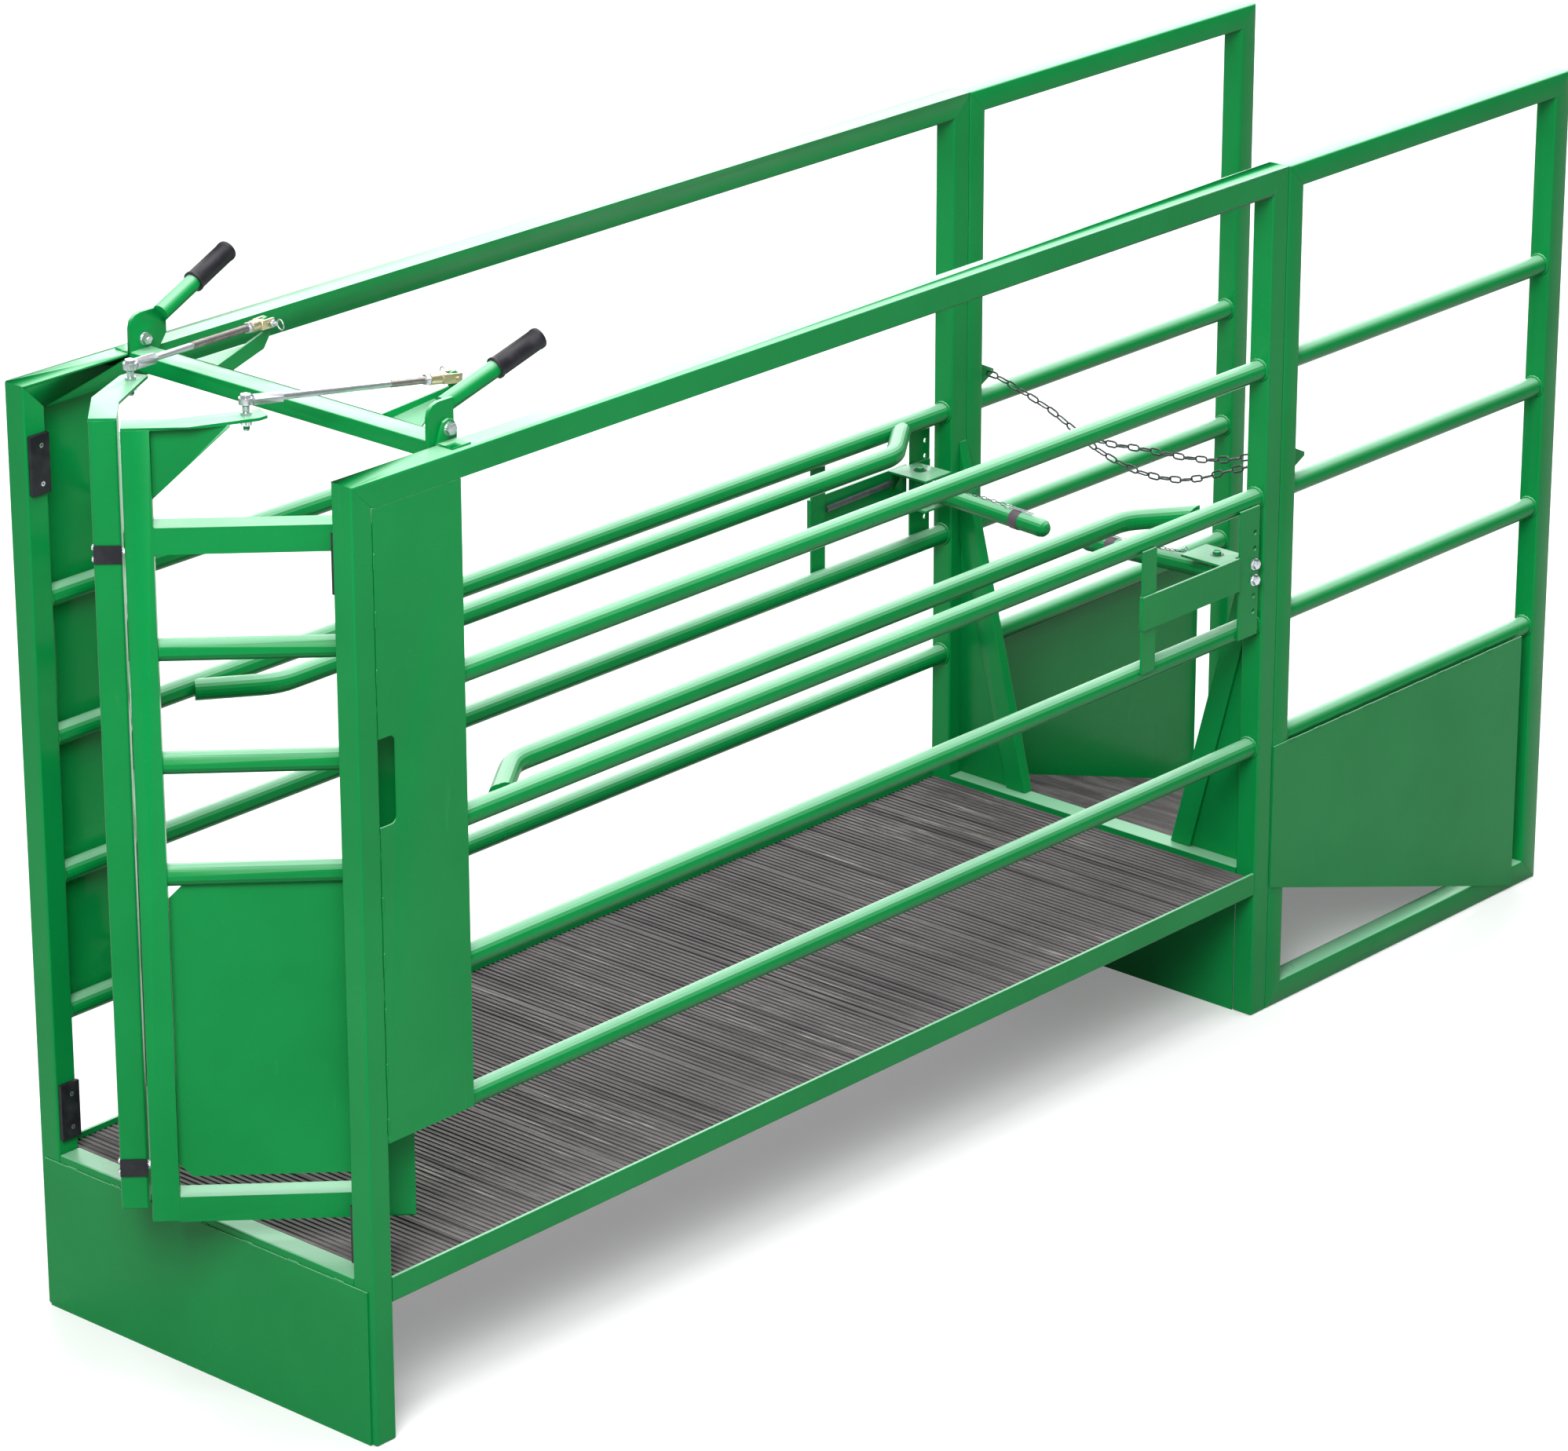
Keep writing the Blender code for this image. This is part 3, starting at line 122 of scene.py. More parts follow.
CHAIN_ROUTE = ((0.4172, 1.212), (0.385, 1.209), (0.253, 1.172), (0.170, 1.135), (0.107, 1.107),
               (0.055, 1.093), (-0.006, 1.0835), (-0.063, 1.084), (-0.122, 1.0925), (-0.179, 1.111),
               (-0.240, 1.138), (-0.300, 1.163), (-0.360, 1.187), (-0.400, 1.2035), (-0.4172, 1.2045))
CHAIN_TAIL_ROUTE = ((-0.4172, 1.2205), (-0.400, 1.2195), (-0.340, 1.198), (-0.283, 1.178), (-0.217, 1.158),
                    (-0.151, 1.146), (-0.089, 1.1405), (-0.011, 1.136), (0.060, 1.129), (0.118, 1.127))

# Stage
LAMPS = (("key", (-6.5, -4.0, 6.5), 4.0, 760.0),          # name, place, size and power
         ("overhead", (0.5, 0.0, 8.0), 6.0, 620.0),
         ("back", (8.5, 7.5, 5.2), 11.0, 1500.0))
LAMPS_AIM = Vector((0, 0, 0.9))
CAMERA_PLACE = (-7.100, -7.795, 5.382)
CAMERA_TURN = (90 - 21.25, 0.07, 41.76 - 90)
CAMERA_LENS = 143.41


# What every property of a kind shares
COLOUR = {"subtype": "COLOR", "size": 3, "min": 0, "max": 1}
LENGTH = {"subtype": "DISTANCE", "unit": "LENGTH"}


class ChuteColours(bpy.types.PropertyGroup):
    """Colours of the finishes."""

    paint: bpy.props.FloatVectorProperty(
        name="Paint", description="Gloss enamel on the steel",
        default=(0.003, 0.275, 0.060), **COLOUR)
    paint_deep: bpy.props.FloatVectorProperty(
        name="Deep paint", description="Enamel where it lies thick",
        default=(0.002, 0.190, 0.040), **COLOUR)
    # Painted sheen: a pale colour on the sides of the paint that look up, standing in for the sky's reflection
    # on the gloss
    painted_top_sheen: bpy.props.FloatVectorProperty(
        name="Faded paint", description="Pale bloom on the sides of the paint that look up",
        default=(0.480, 0.780, 0.600), **COLOUR)
    # Painted shade: a darker colour on the sides of the paint that look down, where shade falls
    painted_under_shade: bpy.props.FloatVectorProperty(
        name="Paint below", description="Darker enamel on the sides that look down",
        default=(0.001, 0.095, 0.024), **COLOUR)
    paint_dust: bpy.props.FloatVectorProperty(
        name="Dust on the paint", description="Pale dust and scuffs",
        default=(0.130, 0.430, 0.240), **COLOUR)
    board: bpy.props.FloatVectorProperty(
        name="Deck board", description="Ribbed deck boards",
        default=(0.066, 0.056, 0.059), **COLOUR)
    board_worn: bpy.props.FloatVectorProperty(
        name="Worn board", description="Pale streaks where hooves rub",
        default=(0.330, 0.310, 0.310), **COLOUR)
    board_pale: bpy.props.FloatVectorProperty(
        name="Scraped board", description="Cream streaks along the grooves",
        default=(0.470, 0.440, 0.410), **COLOUR)
    board_dark: bpy.props.FloatVectorProperty(
        name="Wet board", description="Darker bands across the deck",
        default=(0.022, 0.019, 0.020), **COLOUR)
    rubber: bpy.props.FloatVectorProperty(
        name="Rubber", description="Grips, pads and straps",
        default=(0.012, 0.012, 0.016), **COLOUR)
    steel: bpy.props.FloatVectorProperty(
        name="Bright steel", description="Zinc plated steel",
        default=(0.62, 0.64, 0.68), **COLOUR)
    zinc: bpy.props.FloatVectorProperty(
        name="Yellow zinc", description="Yellow passivated clevis",
        default=(0.62, 0.54, 0.30), **COLOUR)
    chain: bpy.props.FloatVectorProperty(
        name="Chain", description="Dark plated chain",
        default=(0.060, 0.075, 0.070), **COLOUR)
    band: bpy.props.FloatVectorProperty(
        name="Band", description="Grey band round an anti-back bar",
        default=(0.110, 0.090, 0.105), **COLOUR)
    floor: bpy.props.FloatVectorProperty(
        name="Floor", description="Plain pale floor",
        default=(0.80, 0.80, 0.80), **COLOUR)


class ChuteSizes(bpy.types.PropertyGroup):
    """Sizes of the pieces that the dressing adds."""

    tube_corner: bpy.props.FloatProperty(
        name="Tube corner", description="Rounding of the square tube's edges",
        min=0, default=0.0045, **LENGTH)
    weld_bead: bpy.props.FloatProperty(
        name="Weld bead", description="Radius of a weld bead",
        min=0, default=0.0032, **LENGTH)
    board_pitch: bpy.props.FloatProperty(
        name="Board pitch", description="Deck board to deck board",
        min=0.05, default=0.2129, **LENGTH)
    groove_count: bpy.props.IntProperty(
        name="Grooves", description="Grooves along each deck board", min=1, default=15)
    link_pitch: bpy.props.FloatProperty(
        name="Chain pitch", description="Inner length of a chain link",
        min=0.005, default=0.0297, **LENGTH)
    link_wire: bpy.props.FloatProperty(
        name="Chain wire", description="Diameter of a link's wire",
        min=0.001, default=0.0042, **LENGTH)
    grip_flutes: bpy.props.IntProperty(
        name="Grip flutes", description="Flutes along each grip", min=3, default=26)


class Socket:
    """A node's output that maths can be written with."""

    def __init__(self, finish, output):
        self.finish = finish
        self.output = output

    def _math(self, operation, first, second):
        return self.finish.node("ShaderNodeMath", {"operation": operation}, {0: first, 1: second})

    def __add__(self, other):
        return self._math("ADD", self, other)

    def __radd__(self, other):
        return self._math("ADD", other, self)

    def __sub__(self, other):
        return self._math("SUBTRACT", self, other)

    def __rsub__(self, other):
        return self._math("SUBTRACT", other, self)

    def __mul__(self, other):
        return self._math("MULTIPLY", self, other)

    def __rmul__(self, other):
        return self._math("MULTIPLY", other, self)


class Finish:
    """A material and the one way that nodes are added to it."""

    def __init__(self, name):
        self.material = bpy.data.materials.new(name)
        self.material.use_nodes = True
        self.tree = self.material.node_tree
        self.tree.nodes.clear()
        self.shader = self.tree.nodes.new("ShaderNodeBsdfPrincipled")
        self.out = self.tree.nodes.new("ShaderNodeOutputMaterial")
        self.tree.links.new(self.shader.outputs["BSDF"], self.out.inputs["Surface"])

    def node(self, kind, settings=None, values=None, output=0):
        item = self.tree.nodes.new(kind)
        for key, value in (settings or {}).items():
            if key == "stops":
                ramp = item.color_ramp
                while len(ramp.elements) < len(value):
                    ramp.elements.new(1.0)
                for element, (place, grey) in zip(ramp.elements, value):
                    element.position = place
                    element.color = (grey, grey, grey, 1.0)
            else:
                setattr(item, key, value)
        for key, value in (values or {}).items():
            self.feed(item.inputs[key], value)
        return Socket(self, item.outputs[output])

    def feed(self, place, value):
        if isinstance(value, Socket):
            self.tree.links.new(value.output, place)
        elif hasattr(place.default_value, "__len__") and len(value) == 3 and place.type == "RGBA":
            place.default_value = (*value, 1.0)
        else:
            place.default_value = value

    def place(self, scale=(1, 1, 1), turn=(0, 0, 0)):
        """Object coordinates, stretched and turned for a pattern."""
        where = self.node("ShaderNodeTexCoord", output="Object")
        return self.node("ShaderNodeMapping", values={"Vector": where, "Scale": scale, "Rotation": turn})

    def noise(self, where, scale, detail=4.0, rough=0.55):
        return self.node("ShaderNodeTexNoise", {"noise_dimensions": "3D"},
                         {"Vector": where, "Scale": scale, "Detail": detail, "Roughness": rough})

    def ramp(self, value, *stops):
        return self.node("ShaderNodeValToRGB", {"stops": stops}, {"Fac": value})

    def mix(self, share, first, second):
        return self.node("ShaderNodeMix", {"data_type": "RGBA"}, {0: share, 6: first, 7: second}, output=2)

    def bump(self, height, strength, distance):
        return self.node("ShaderNodeBump",
                         values={"Height": height, "Strength": strength, "Distance": distance})

    def set(self, **values):
        for key, value in values.items():
            self.feed(self.shader.inputs[key.replace("_", " ")], value)
        return self


def colours():
    return bpy.context.scene.chute_colours


def sizes():
    return bpy.context.scene.chute_sizes


def shade(name):
    return tuple(getattr(colours(), name))


def make_paint(name, base, deep):
    """Gloss enamel with a slight wave, thick and thin spots, a painted sheen on the sides that look up,
    painted shade on the sides that look down, dust and fine scuffs.
    """
    paint = Finish(name)
    where = paint.place()
    cloud = paint.ramp(paint.noise(where, 3.1, 5.0), (0.35, 0.0), (0.68, 1.0))
    speck = paint.ramp(paint.noise(where, 140.0, 3.0, 0.7), (0.63, 0.0), (0.78, 1.0))
    scuff_place = paint.place((1.0, 1.0, 0.12), (0.3, 0.2, 0.5))
    scuff = paint.ramp(paint.noise(scuff_place, 34.0, 6.0, 0.7), (0.66, 0.0), (0.76, 1.0))
    colour = paint.mix(cloud * 0.45, base, deep)
    facing_way = paint.node("ShaderNodeTexCoord", output="Normal")
    up = paint.node("ShaderNodeSeparateXYZ", values={"Vector": facing_way}, output="Z")
    # Painted sheen: paler on the sides that look up
    painted_sheen_share = paint.ramp(up, (0.40, 0.0), (0.62, 0.22), (0.84, 1.0))
    # Painted shade: darker on the sides that look down
    painted_shade_share = paint.ramp(up * -1.0, (0.05, 0.0), (0.80, 1.0))
    colour = paint.mix(painted_sheen_share * 0.46, colour, shade("painted_top_sheen"))
    colour = paint.mix(painted_shade_share * 0.60, colour, shade("painted_under_shade"))
    colour = paint.mix(speck * 0.10 + scuff * 0.14, colour, shade("paint_dust"))
    wave = paint.noise(where, 46.0, 3.0)
    peel = paint.noise(where, 420.0, 2.0)
    height = paint.bump(wave * 0.7 + peel * 0.3, 0.16, 0.0016)
    paint.set(Base_Color=colour, Roughness=0.27 + cloud * 0.10 + scuff * 0.2, Normal=height)
    paint.set(Metallic=0.0, Coat_Weight=0.05, Coat_Roughness=0.10)
    paint.set(Specular_IOR_Level=0.10)
    return paint.material


def make_board():
    """Dark composite board with a worn grey tone, pale streaks and darker bands across."""
    board = Finish("deck_board_worn")
    streak_place = board.place((13.0, 0.34, 7.0))
    streak = board.ramp(board.noise(streak_place, 14.0, 6.0, 0.72), (0.53, 0.0), (0.66, 1.0))
    broad = board.ramp(board.noise(board.place((1.6, 0.55, 1.0)), 3.6, 4.0), (0.44, 0.0), (0.66, 1.0))
    band = board.ramp(board.noise(board.place((1.0, 0.02, 1.0)), 46.0, 3.0, 0.6), (0.54, 0.0), (0.62, 1.0))
    grain = board.noise(board.place((1.0, 0.3, 1.0)), 170.0, 5.0, 0.75)
    cloud = board.noise(board.place(), 11.0, 5.0, 0.6)
    colour = board.mix(cloud * 0.22 + grain * 0.20, shade("board"), shade("board_worn"))
    colour = board.mix(streak * broad, colour, shade("board_pale"))
    colour = board.mix(band * 0.60, colour, shade("board_dark"))
    height = board.bump(grain * 0.7 + streak * 0.3, 0.35, 0.0012)
    board.set(Base_Color=colour, Roughness=0.70 + grain * 0.2, Normal=height)
    board.set(Specular_IOR_Level=0.35)
    return board.material


def make_mat():
    """Ribbed rubber mat of the ramp, with patches of dust."""
    mat = Finish("ramp_mat_dusty")
    dust = mat.ramp(mat.noise(mat.place((2.0, 0.5, 2.0)), 12.0, 5.0, 0.6), (0.42, 0.0), (0.74, 1.0))
    grain = mat.noise(mat.place(), 210.0, 4.0, 0.7)
    mat.set(Base_Color=mat.mix(dust * 0.5 + grain * 0.1, shade("board"), shade("board_worn")),
            Roughness=0.66 + dust * 0.25, Normal=mat.bump(grain, 0.4, 0.0010))
    mat.set(Specular_IOR_Level=0.35)
    return mat.material


def make_rubber(name, base, dusty):
    """Moulded black rubber with a fine grain and a bloom of dust."""
    rubber = Finish(name)
    grain = rubber.noise(rubber.place(), 620.0, 3.0, 0.6)
    bloom = rubber.ramp(rubber.noise(rubber.place(), 26.0, 4.0), (0.45, 0.0), (0.80, 1.0))
    rubber.set(Base_Color=rubber.mix(bloom * 0.35, base, dusty),
               Roughness=0.46 + bloom * 0.25, Normal=rubber.bump(grain, 0.25, 0.0005))
    rubber.set(Specular_IOR_Level=0.25)
    return rubber.material


def make_metal(name, base, other, rough, scale):
    """Plated steel with cloudy plating and fine handling marks."""
    metal = Finish(name)
    cloud = metal.ramp(metal.noise(metal.place(), scale, 4.0, 0.6), (0.38, 0.0), (0.70, 1.0))
    mark = metal.noise(metal.place((1.0, 1.0, 6.0)), scale * 9.0, 4.0, 0.7)
    metal.set(Base_Color=metal.mix(cloud * 0.6, base, other), Roughness=rough + cloud * 0.14 + mark * 0.08,
              Normal=metal.bump(mark, 0.20, 0.0004))
    metal.set(Metallic=0.92)
    return metal.material


LOOKS = {}


def make_looks():
    """Every finish, by the name that pieces ask for."""
    LOOKS["green_paint"] = make_paint("green_paint_enamel", shade("paint"), shade("paint_deep"))
    LOOKS["deck_board"] = make_board()
    LOOKS["ramp_mat"] = make_mat()
    LOOKS["rubber"] = make_rubber("moulded_rubber", shade("rubber"), (0.085, 0.085, 0.095))
    LOOKS["band"] = make_rubber("grey_band", shade("band"), (0.20, 0.18, 0.20))
    for name, label, base, other, rough, scale in (
            ("bright_steel", "zinc_plated_steel", shade("steel"), (0.40, 0.41, 0.44), 0.24, 30.0),
            ("dull_steel", "dull_threaded_steel", (0.40, 0.37, 0.35), (0.17, 0.13, 0.12), 0.34, 60.0),
            ("spring_steel", "oiled_spring_steel", (0.17, 0.17, 0.19), (0.09, 0.09, 0.10), 0.40, 40.0),
            ("yellow_zinc", "yellow_zinc_steel", shade("zinc"), (0.58, 0.58, 0.46), 0.28, 60.0),
            ("chain_steel", "dark_chain_steel", shade("chain"), (0.15, 0.18, 0.16), 0.36, 80.0)):
        LOOKS[name] = make_metal(label, base, other, rough, scale)


def wear(piece, name):
    """Gives a piece one finish, in every slot that it has."""
    for place in piece.material_slots:
        place.material = LOOKS[name]
    if not piece.material_slots:
        piece.data.materials.append(LOOKS[name])


def new_piece(name, shape, body, finish, sharp=35.0):
    """Makes a bmesh an object that rides on a body, in the given finish."""
    mesh = bpy.data.meshes.new(name)
    shape.to_mesh(mesh)
    shape.free()
    item = bpy.data.objects.new(name, mesh)
    bpy.context.scene.collection.objects.link(item)
    wear(item, finish)
    mesh.shade_smooth()
    mesh.set_sharp_from_angle(angle=math.radians(sharp))
    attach(item, body)
    return item


def verts_of(items):
    return [item for item in items if isinstance(item, bmesh.types.BMVert)]


def edges_of(items):
    return [item for item in items if isinstance(item, bmesh.types.BMEdge)]


def everything(shape):
    return shape.verts[:] + shape.edges[:] + shape.faces[:]


def merged_copy(node, plain=True):
    """A bmesh of a node's solid, its loose triangles joined. Plain also joins them into flat faces."""
    shape = bmesh.new()
    shape.from_mesh(frame["nodes"][node].data)
    bmesh.ops.remove_doubles(shape, verts=shape.verts, dist=0.00002)
    if plain:
        bmesh.ops.dissolve_limit(shape, angle_limit=math.radians(1.0), verts=shape.verts, edges=shape.edges,
                                 delimit={"NORMAL"})
    return shape


def edge_span(edge):
    """How wide the narrower of an edge's two faces is across it."""
    return min(face.calc_area() for face in edge.link_faces) / max(edge.calc_length(), 1e-6)


def soften(node, finish, corner=None, flush=False, plain=True):
    """A copy of a node with rounded edges takes its place. Flush skips the mitres, which are ground flat."""
    corner = corner or sizes().tube_corner
    shape = merged_copy(node, plain)
    across = 0.12 if plain else 0.20
    weight = shape.edges.layers.float.new("bevel_weight_edge")
    for edge in shape.edges:
        if len(edge.link_faces) != 2 or edge.calc_face_angle(0.0) < math.radians(40):
            continue
        mitred = [abs(abs(face.normal.x) - abs(face.normal.z)) < 0.02 and abs(face.normal.y) < 0.02
                  for face in edge.link_faces]
        if flush and any(mitred):
            continue
        wanted = min(corner, across * edge_span(edge), 0.25 * edge.calc_length())
        edge[weight] = max(0.0, min(1.0, wanted / corner))
    item = new_piece(f"{node}_shown", shape, BODY_OF[node], finish)
    rounding = item.modifiers.new("edges", "BEVEL")
    rounding.limit_method = "WEIGHT"
    rounding.width = corner
    rounding.segments = 3
    rounding.use_clamp_overlap = False
    rounding.harden_normals = True
    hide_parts(node)
    return item


def square_tube(start, end, cuts=()):
    """A square tube between two points with rounded corners, trimmed by planes of point and normal."""
    shape = bmesh.new()
    bmesh.ops.create_cube(shape, size=1.0)
    length = (end - start).length
    bmesh.ops.scale(shape, vec=(POST, POST, length), verts=shape.verts)
    long_edges = [edge for edge in shape.edges
                  if abs((edge.verts[0].co - edge.verts[1].co).normalized().z) > 0.9]
    bmesh.ops.bevel(shape, geom=long_edges, offset=sizes().tube_corner, segments=3, profile=0.5,
                    affect="EDGES", material=-1)
    bmesh.ops.transform(shape, matrix=facing((start + end) / 2, end - start), verts=shape.verts)
    for point, normal in cuts:
        sliced = bmesh.ops.bisect_plane(shape, geom=everything(shape), plane_co=point, plane_no=normal,
                                        clear_outer=True)
        bmesh.ops.holes_fill(shape, edges=edges_of(sliced["geom_cut"]), sides=0)
    bmesh.ops.recalc_face_normals(shape, faces=shape.faces)
    return shape


def round_tube(start, end, radius, sides=24):
    """A round bar between two points."""
    shape = bmesh.new()
    bmesh.ops.create_cone(shape, cap_ends=True, segments=sides, radius1=radius, radius2=radius,
                          depth=(end - start).length)
    bmesh.ops.transform(shape, matrix=facing((start + end) / 2, end - start), verts=shape.verts)
    return shape


def plate(outline, thick):
    """A flat plate with this outline, thickened along a vector."""
    shape = bmesh.new()
    face = shape.faces.new([shape.verts.new(point) for point in outline])
    grown = bmesh.ops.extrude_face_region(shape, geom=[face], use_keep_orig=True)["geom"]
    bmesh.ops.translate(shape, vec=thick, verts=verts_of(grown))
    bmesh.ops.recalc_face_normals(shape, faces=shape.faces)
    return shape


def hex_bolt(place, across, thick, washer, shank=0.0, round_top=False):
    """A head on its washer, along Z from the plate: a chamfered hexagon, or round with a domed top."""
    sides, round_off, steps = (24, 0.4, 3) if round_top else (6, 0.14, 2)
    head = bmesh.new()
    radius = across / math.sqrt(3)
    bmesh.ops.create_cone(head, cap_ends=True, segments=sides, radius1=radius, radius2=radius, depth=thick)
    rim = [edge for edge in head.edges if all(vert.co.z > 0 for vert in edge.verts)]
    bmesh.ops.bevel(head, geom=rim, offset=thick * round_off, segments=steps, profile=0.5, affect="EDGES",
                    material=-1)
    bmesh.ops.translate(head, vec=(0, 0, thick / 2 + washer * 0.1), verts=head.verts)
    disc = [(0, 0), (washer, 0), (washer, 0.0012), (washer - 0.0006, 0.0018), (0, 0.0018)]
    shapes = [head, round_piece(disc, 24, Matrix.Identity(4))]
    if shank:
        shapes.append(round_piece([(0, thick), (radius * 0.5, thick), (radius * 0.5, thick + shank),
                                   (radius * 0.42, thick + shank + 0.001), (0, thick + shank + 0.001)],
                                  16, Matrix.Identity(4)))
    whole = joined(shapes)
    bmesh.ops.transform(whole, matrix=place, verts=whole.verts)
    return whole


def ring_of_wire(radius, wire, steps):
    """A closed ring of wire round Z."""
    shape = bmesh.new()
    ring = bmesh.ops.create_circle(shape, segments=8, radius=wire)["verts"]
    bmesh.ops.rotate(shape, verts=ring, cent=(0, 0, 0), matrix=Matrix.Rotation(math.pi / 2, 3, "X"))
    bmesh.ops.translate(shape, vec=(radius, 0, 0), verts=ring)
    bmesh.ops.spin(shape, geom=shape.verts[:] + shape.edges[:], axis=(0, 0, 1), cent=(0, 0, 0), steps=steps,
                   angle=math.tau, use_merge=True)
    bmesh.ops.remove_doubles(shape, verts=shape.verts, dist=wire * 0.02)
    return shape


def settled(shape, place):
    """Turns a shape's faces outward and sets it in place."""
    bmesh.ops.recalc_face_normals(shape, faces=shape.faces)
    bmesh.ops.transform(shape, matrix=place, verts=shape.verts)
    return shape


def wire_ring(centre, axis, radius, wire, steps=28):
    return settled(ring_of_wire(radius, wire, steps), facing(centre, axis))


def weld_ring(centre, axis, radius, bead, count):
    """A ring of overlapping weld ripples round a bar."""
    shape = ring_of_wire(radius, bead, count * 2)
    for vert in shape.verts:
        turn = math.atan2(vert.co.y, vert.co.x) / math.tau * count
        swell = 1.0 + 0.16 * math.cos(math.tau * turn)
        middle = Vector((vert.co.x, vert.co.y, 0)).normalized() * radius
        vert.co = middle + (vert.co - middle) * swell
    return settled(shape, facing(centre, axis))


def facing(origin, direction):
    """Puts a shape made along Z at a place, along a direction."""
    turn = Vector(direction).to_track_quat("Z", "X").to_matrix().to_4x4()
    return Matrix.Translation(Vector(origin)) @ turn


def round_piece(profile, steps, place):
    """A closed turned shape along Z, set in place."""
    shape = bmesh.new()
    points = [shape.verts.new((radius, 0, height)) for radius, height in profile]
    lines = [shape.edges.new(pair) for pair in zip(points, points[1:])]
    bmesh.ops.spin(shape, geom=points + lines, axis=(0, 0, 1), cent=(0, 0, 0), steps=steps,
                   angle=math.tau, use_merge=True)
    bmesh.ops.remove_doubles(shape, verts=shape.verts, dist=0.000005)
    return settled(shape, place)


def joined(shapes):
    """Several bmeshes as one."""
    whole = bmesh.new()
    for shape in shapes:
        part = bpy.data.meshes.new("part")
        shape.to_mesh(part)
        shape.free()
        whole.from_mesh(part)
        bpy.data.meshes.remove(part)
    return whole


def chute_point(x, y, z):
    """A point given from the front faces of the posts, in the model's frame."""
    return Vector((x + SHIFT, y, z))


def ribbed_sheet(length, width, strips, depth, thick):
    """A board with grooves across, centred on the origin with its top at 0."""
    shape = bmesh.new()
    bmesh.ops.create_grid(shape, x_segments=1, y_segments=1, size=0.5)
    bmesh.ops.scale(shape, vec=(length, width, 1), verts=shape.verts)
    for number in range(1, strips):
        bmesh.ops.bisect_plane(shape, geom=everything(shape), plane_no=(1, 0, 0),
                               plane_co=(-length / 2 + length * number / strips, 0, 0))
    rim = bmesh.ops.extrude_edge_only(shape, edges=[edge for edge in shape.edges if edge.is_boundary])
    bmesh.ops.translate(shape, vec=(0, 0, -thick), verts=verts_of(rim["geom"]))
    bmesh.ops.contextual_create(shape, geom=[edge for edge in shape.edges if edge.is_boundary])
    strip = length / strips
    tops = [face for face in shape.faces if face.normal.z > 0.5 and face.calc_center_median().z > -1e-4]
    sunk = [face for face in tops
            if int((face.calc_center_median().x + length / 2) / strip) % 2 == 1]
    lowered = bmesh.ops.extrude_discrete_faces(shape, faces=sunk)["faces"]
    verts = {vert for face in lowered for vert in face.verts}
    bmesh.ops.translate(shape, vec=(0, 0, -depth), verts=list(verts))
    return shape


def tail_panel(name, side):
    """Ramp tail's frame of four mitred tubes, its round rails and the chain's keeper."""
    half = POST / 2
    x0, x1 = TAIL_FRONT + half, TAIL_END - half
    z0, z1 = half, HEIGHT - half
    y = side * MIDDLE
    corners = [chute_point(x0, y, z0), chute_point(x1, y, z0), chute_point(x1, y, z1), chute_point(x0, y, z1)]
    shapes = []
    for number in range(4):
        start, end = corners[number], corners[(number + 1) % 4]
        before, after = corners[number - 1], corners[(number + 2) % 4]
        run = (end - start).normalized()
        turn_in = ((before - start).normalized() - run).normalized()
        turn_out = ((after - end).normalized() + run).normalized()
        cuts = ((start - turn_in * MITRE_GAP, turn_in), (end - turn_out * MITRE_GAP, turn_out))
        shapes.append(square_tube(start - run * POST, end + run * POST, cuts))
    for z in RAILS_Z:
        shapes.append(round_tube(chute_point(x0, y, z), chute_point(x1, y, z), RAIL_R))
    front, keeper_z = TAIL_FRONT + POST, RAILS_Z[1] + KEEPER_RISE
    outline = ((-KEEPER_LAP, -KEEPER_HALF), (-KEEPER_LAP, KEEPER_HALF),
               (KEEPER_LENGTH, KEEPER_THICK), (KEEPER_LENGTH, -KEEPER_THICK))
    keeper = [chute_point(front + x, side * (MIDDLE - KEEPER_THICK), keeper_z + z) for x, z in outline]
    shapes.append(plate(keeper, Vector((0, side * KEEPER_THICK, 0))))
    item = new_piece(f"{name}_tail_panel_shown", joined(shapes), "frame", "green_paint")
    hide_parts(f"{name}_tail_panel")


class CHUTE_OT_side_frames(bpy.types.Operator):
    """Posts, rails and cross members, with rounded tube corners"""
    bl_idname = "chute.side_frames"
    bl_label = "Side frames"

    def execute(self, context):
        for name, side in SIDES.items():
            for part in ("front_post", "rear_post"):
                soften(f"{name}_{part}", "green_paint", flush=True)
            soften(f"{name}_top_rail", "green_paint", flush=True, plain=False)
            soften(f"{name}_floor_rail", "green_paint")
            tail_panel(name, side)
            for part in ("rail_1", "rail_2", "rail_3", "rail_4", "body_bar"):
                wear(frame["nodes"][f"{name}_{part}"], "green_paint")
        soften("front_cross_member", "green_paint")
        soften("rear_cross_member", "green_paint", plain=False)
        return {"FINISHED"}


class CHUTE_OT_welds(bpy.types.Operator):
    """Weld beads round the ends of the round rails"""
    bl_idname = "chute.welds"
    bl_label = "Weld beads"

    def execute(self, context):
        bead = sizes().weld_bead
        ends = ((POST, 1), (REAR_POST, -1), (TAIL_FRONT + POST, 1), (TAIL_END - POST, -1))
        for name, side in SIDES.items():
            beads = [weld_ring(chute_point(x + way * bead * 0.3, side * MIDDLE, z), (1, 0, 0),
                               RAIL_R + bead * 0.2, bead, 16)
                     for x, way in ends for z in RAILS_Z]
            new_piece(f"{name}_rail_welds", joined(beads), "frame", "green_paint", sharp=80.0)
        return {"FINISHED"}


def row(start, pitch, count):
    """Evenly spaced places."""
    return [start + pitch * number for number in range(count)]


def stitch_weld(centre, along, length):
    """A short weld bead with its ripples, half sunk in the seam."""
    bead = sizes().weld_bead * 0.62
    profile = [(0.0, -length / 2 - bead * 0.6)]
    ripples = 7
    for number in range(ripples * 2 + 1):
        swell = 1.0 if number % 2 else 0.80
        end = 0.75 if number in (0, ripples * 2) else 1.0
        profile.append((bead * swell * end, -length / 2 + length * number / (ripples * 2)))
    profile.append((0.0, length / 2 + bead * 0.6))
    return round_piece(profile, 8, facing(centre, along))


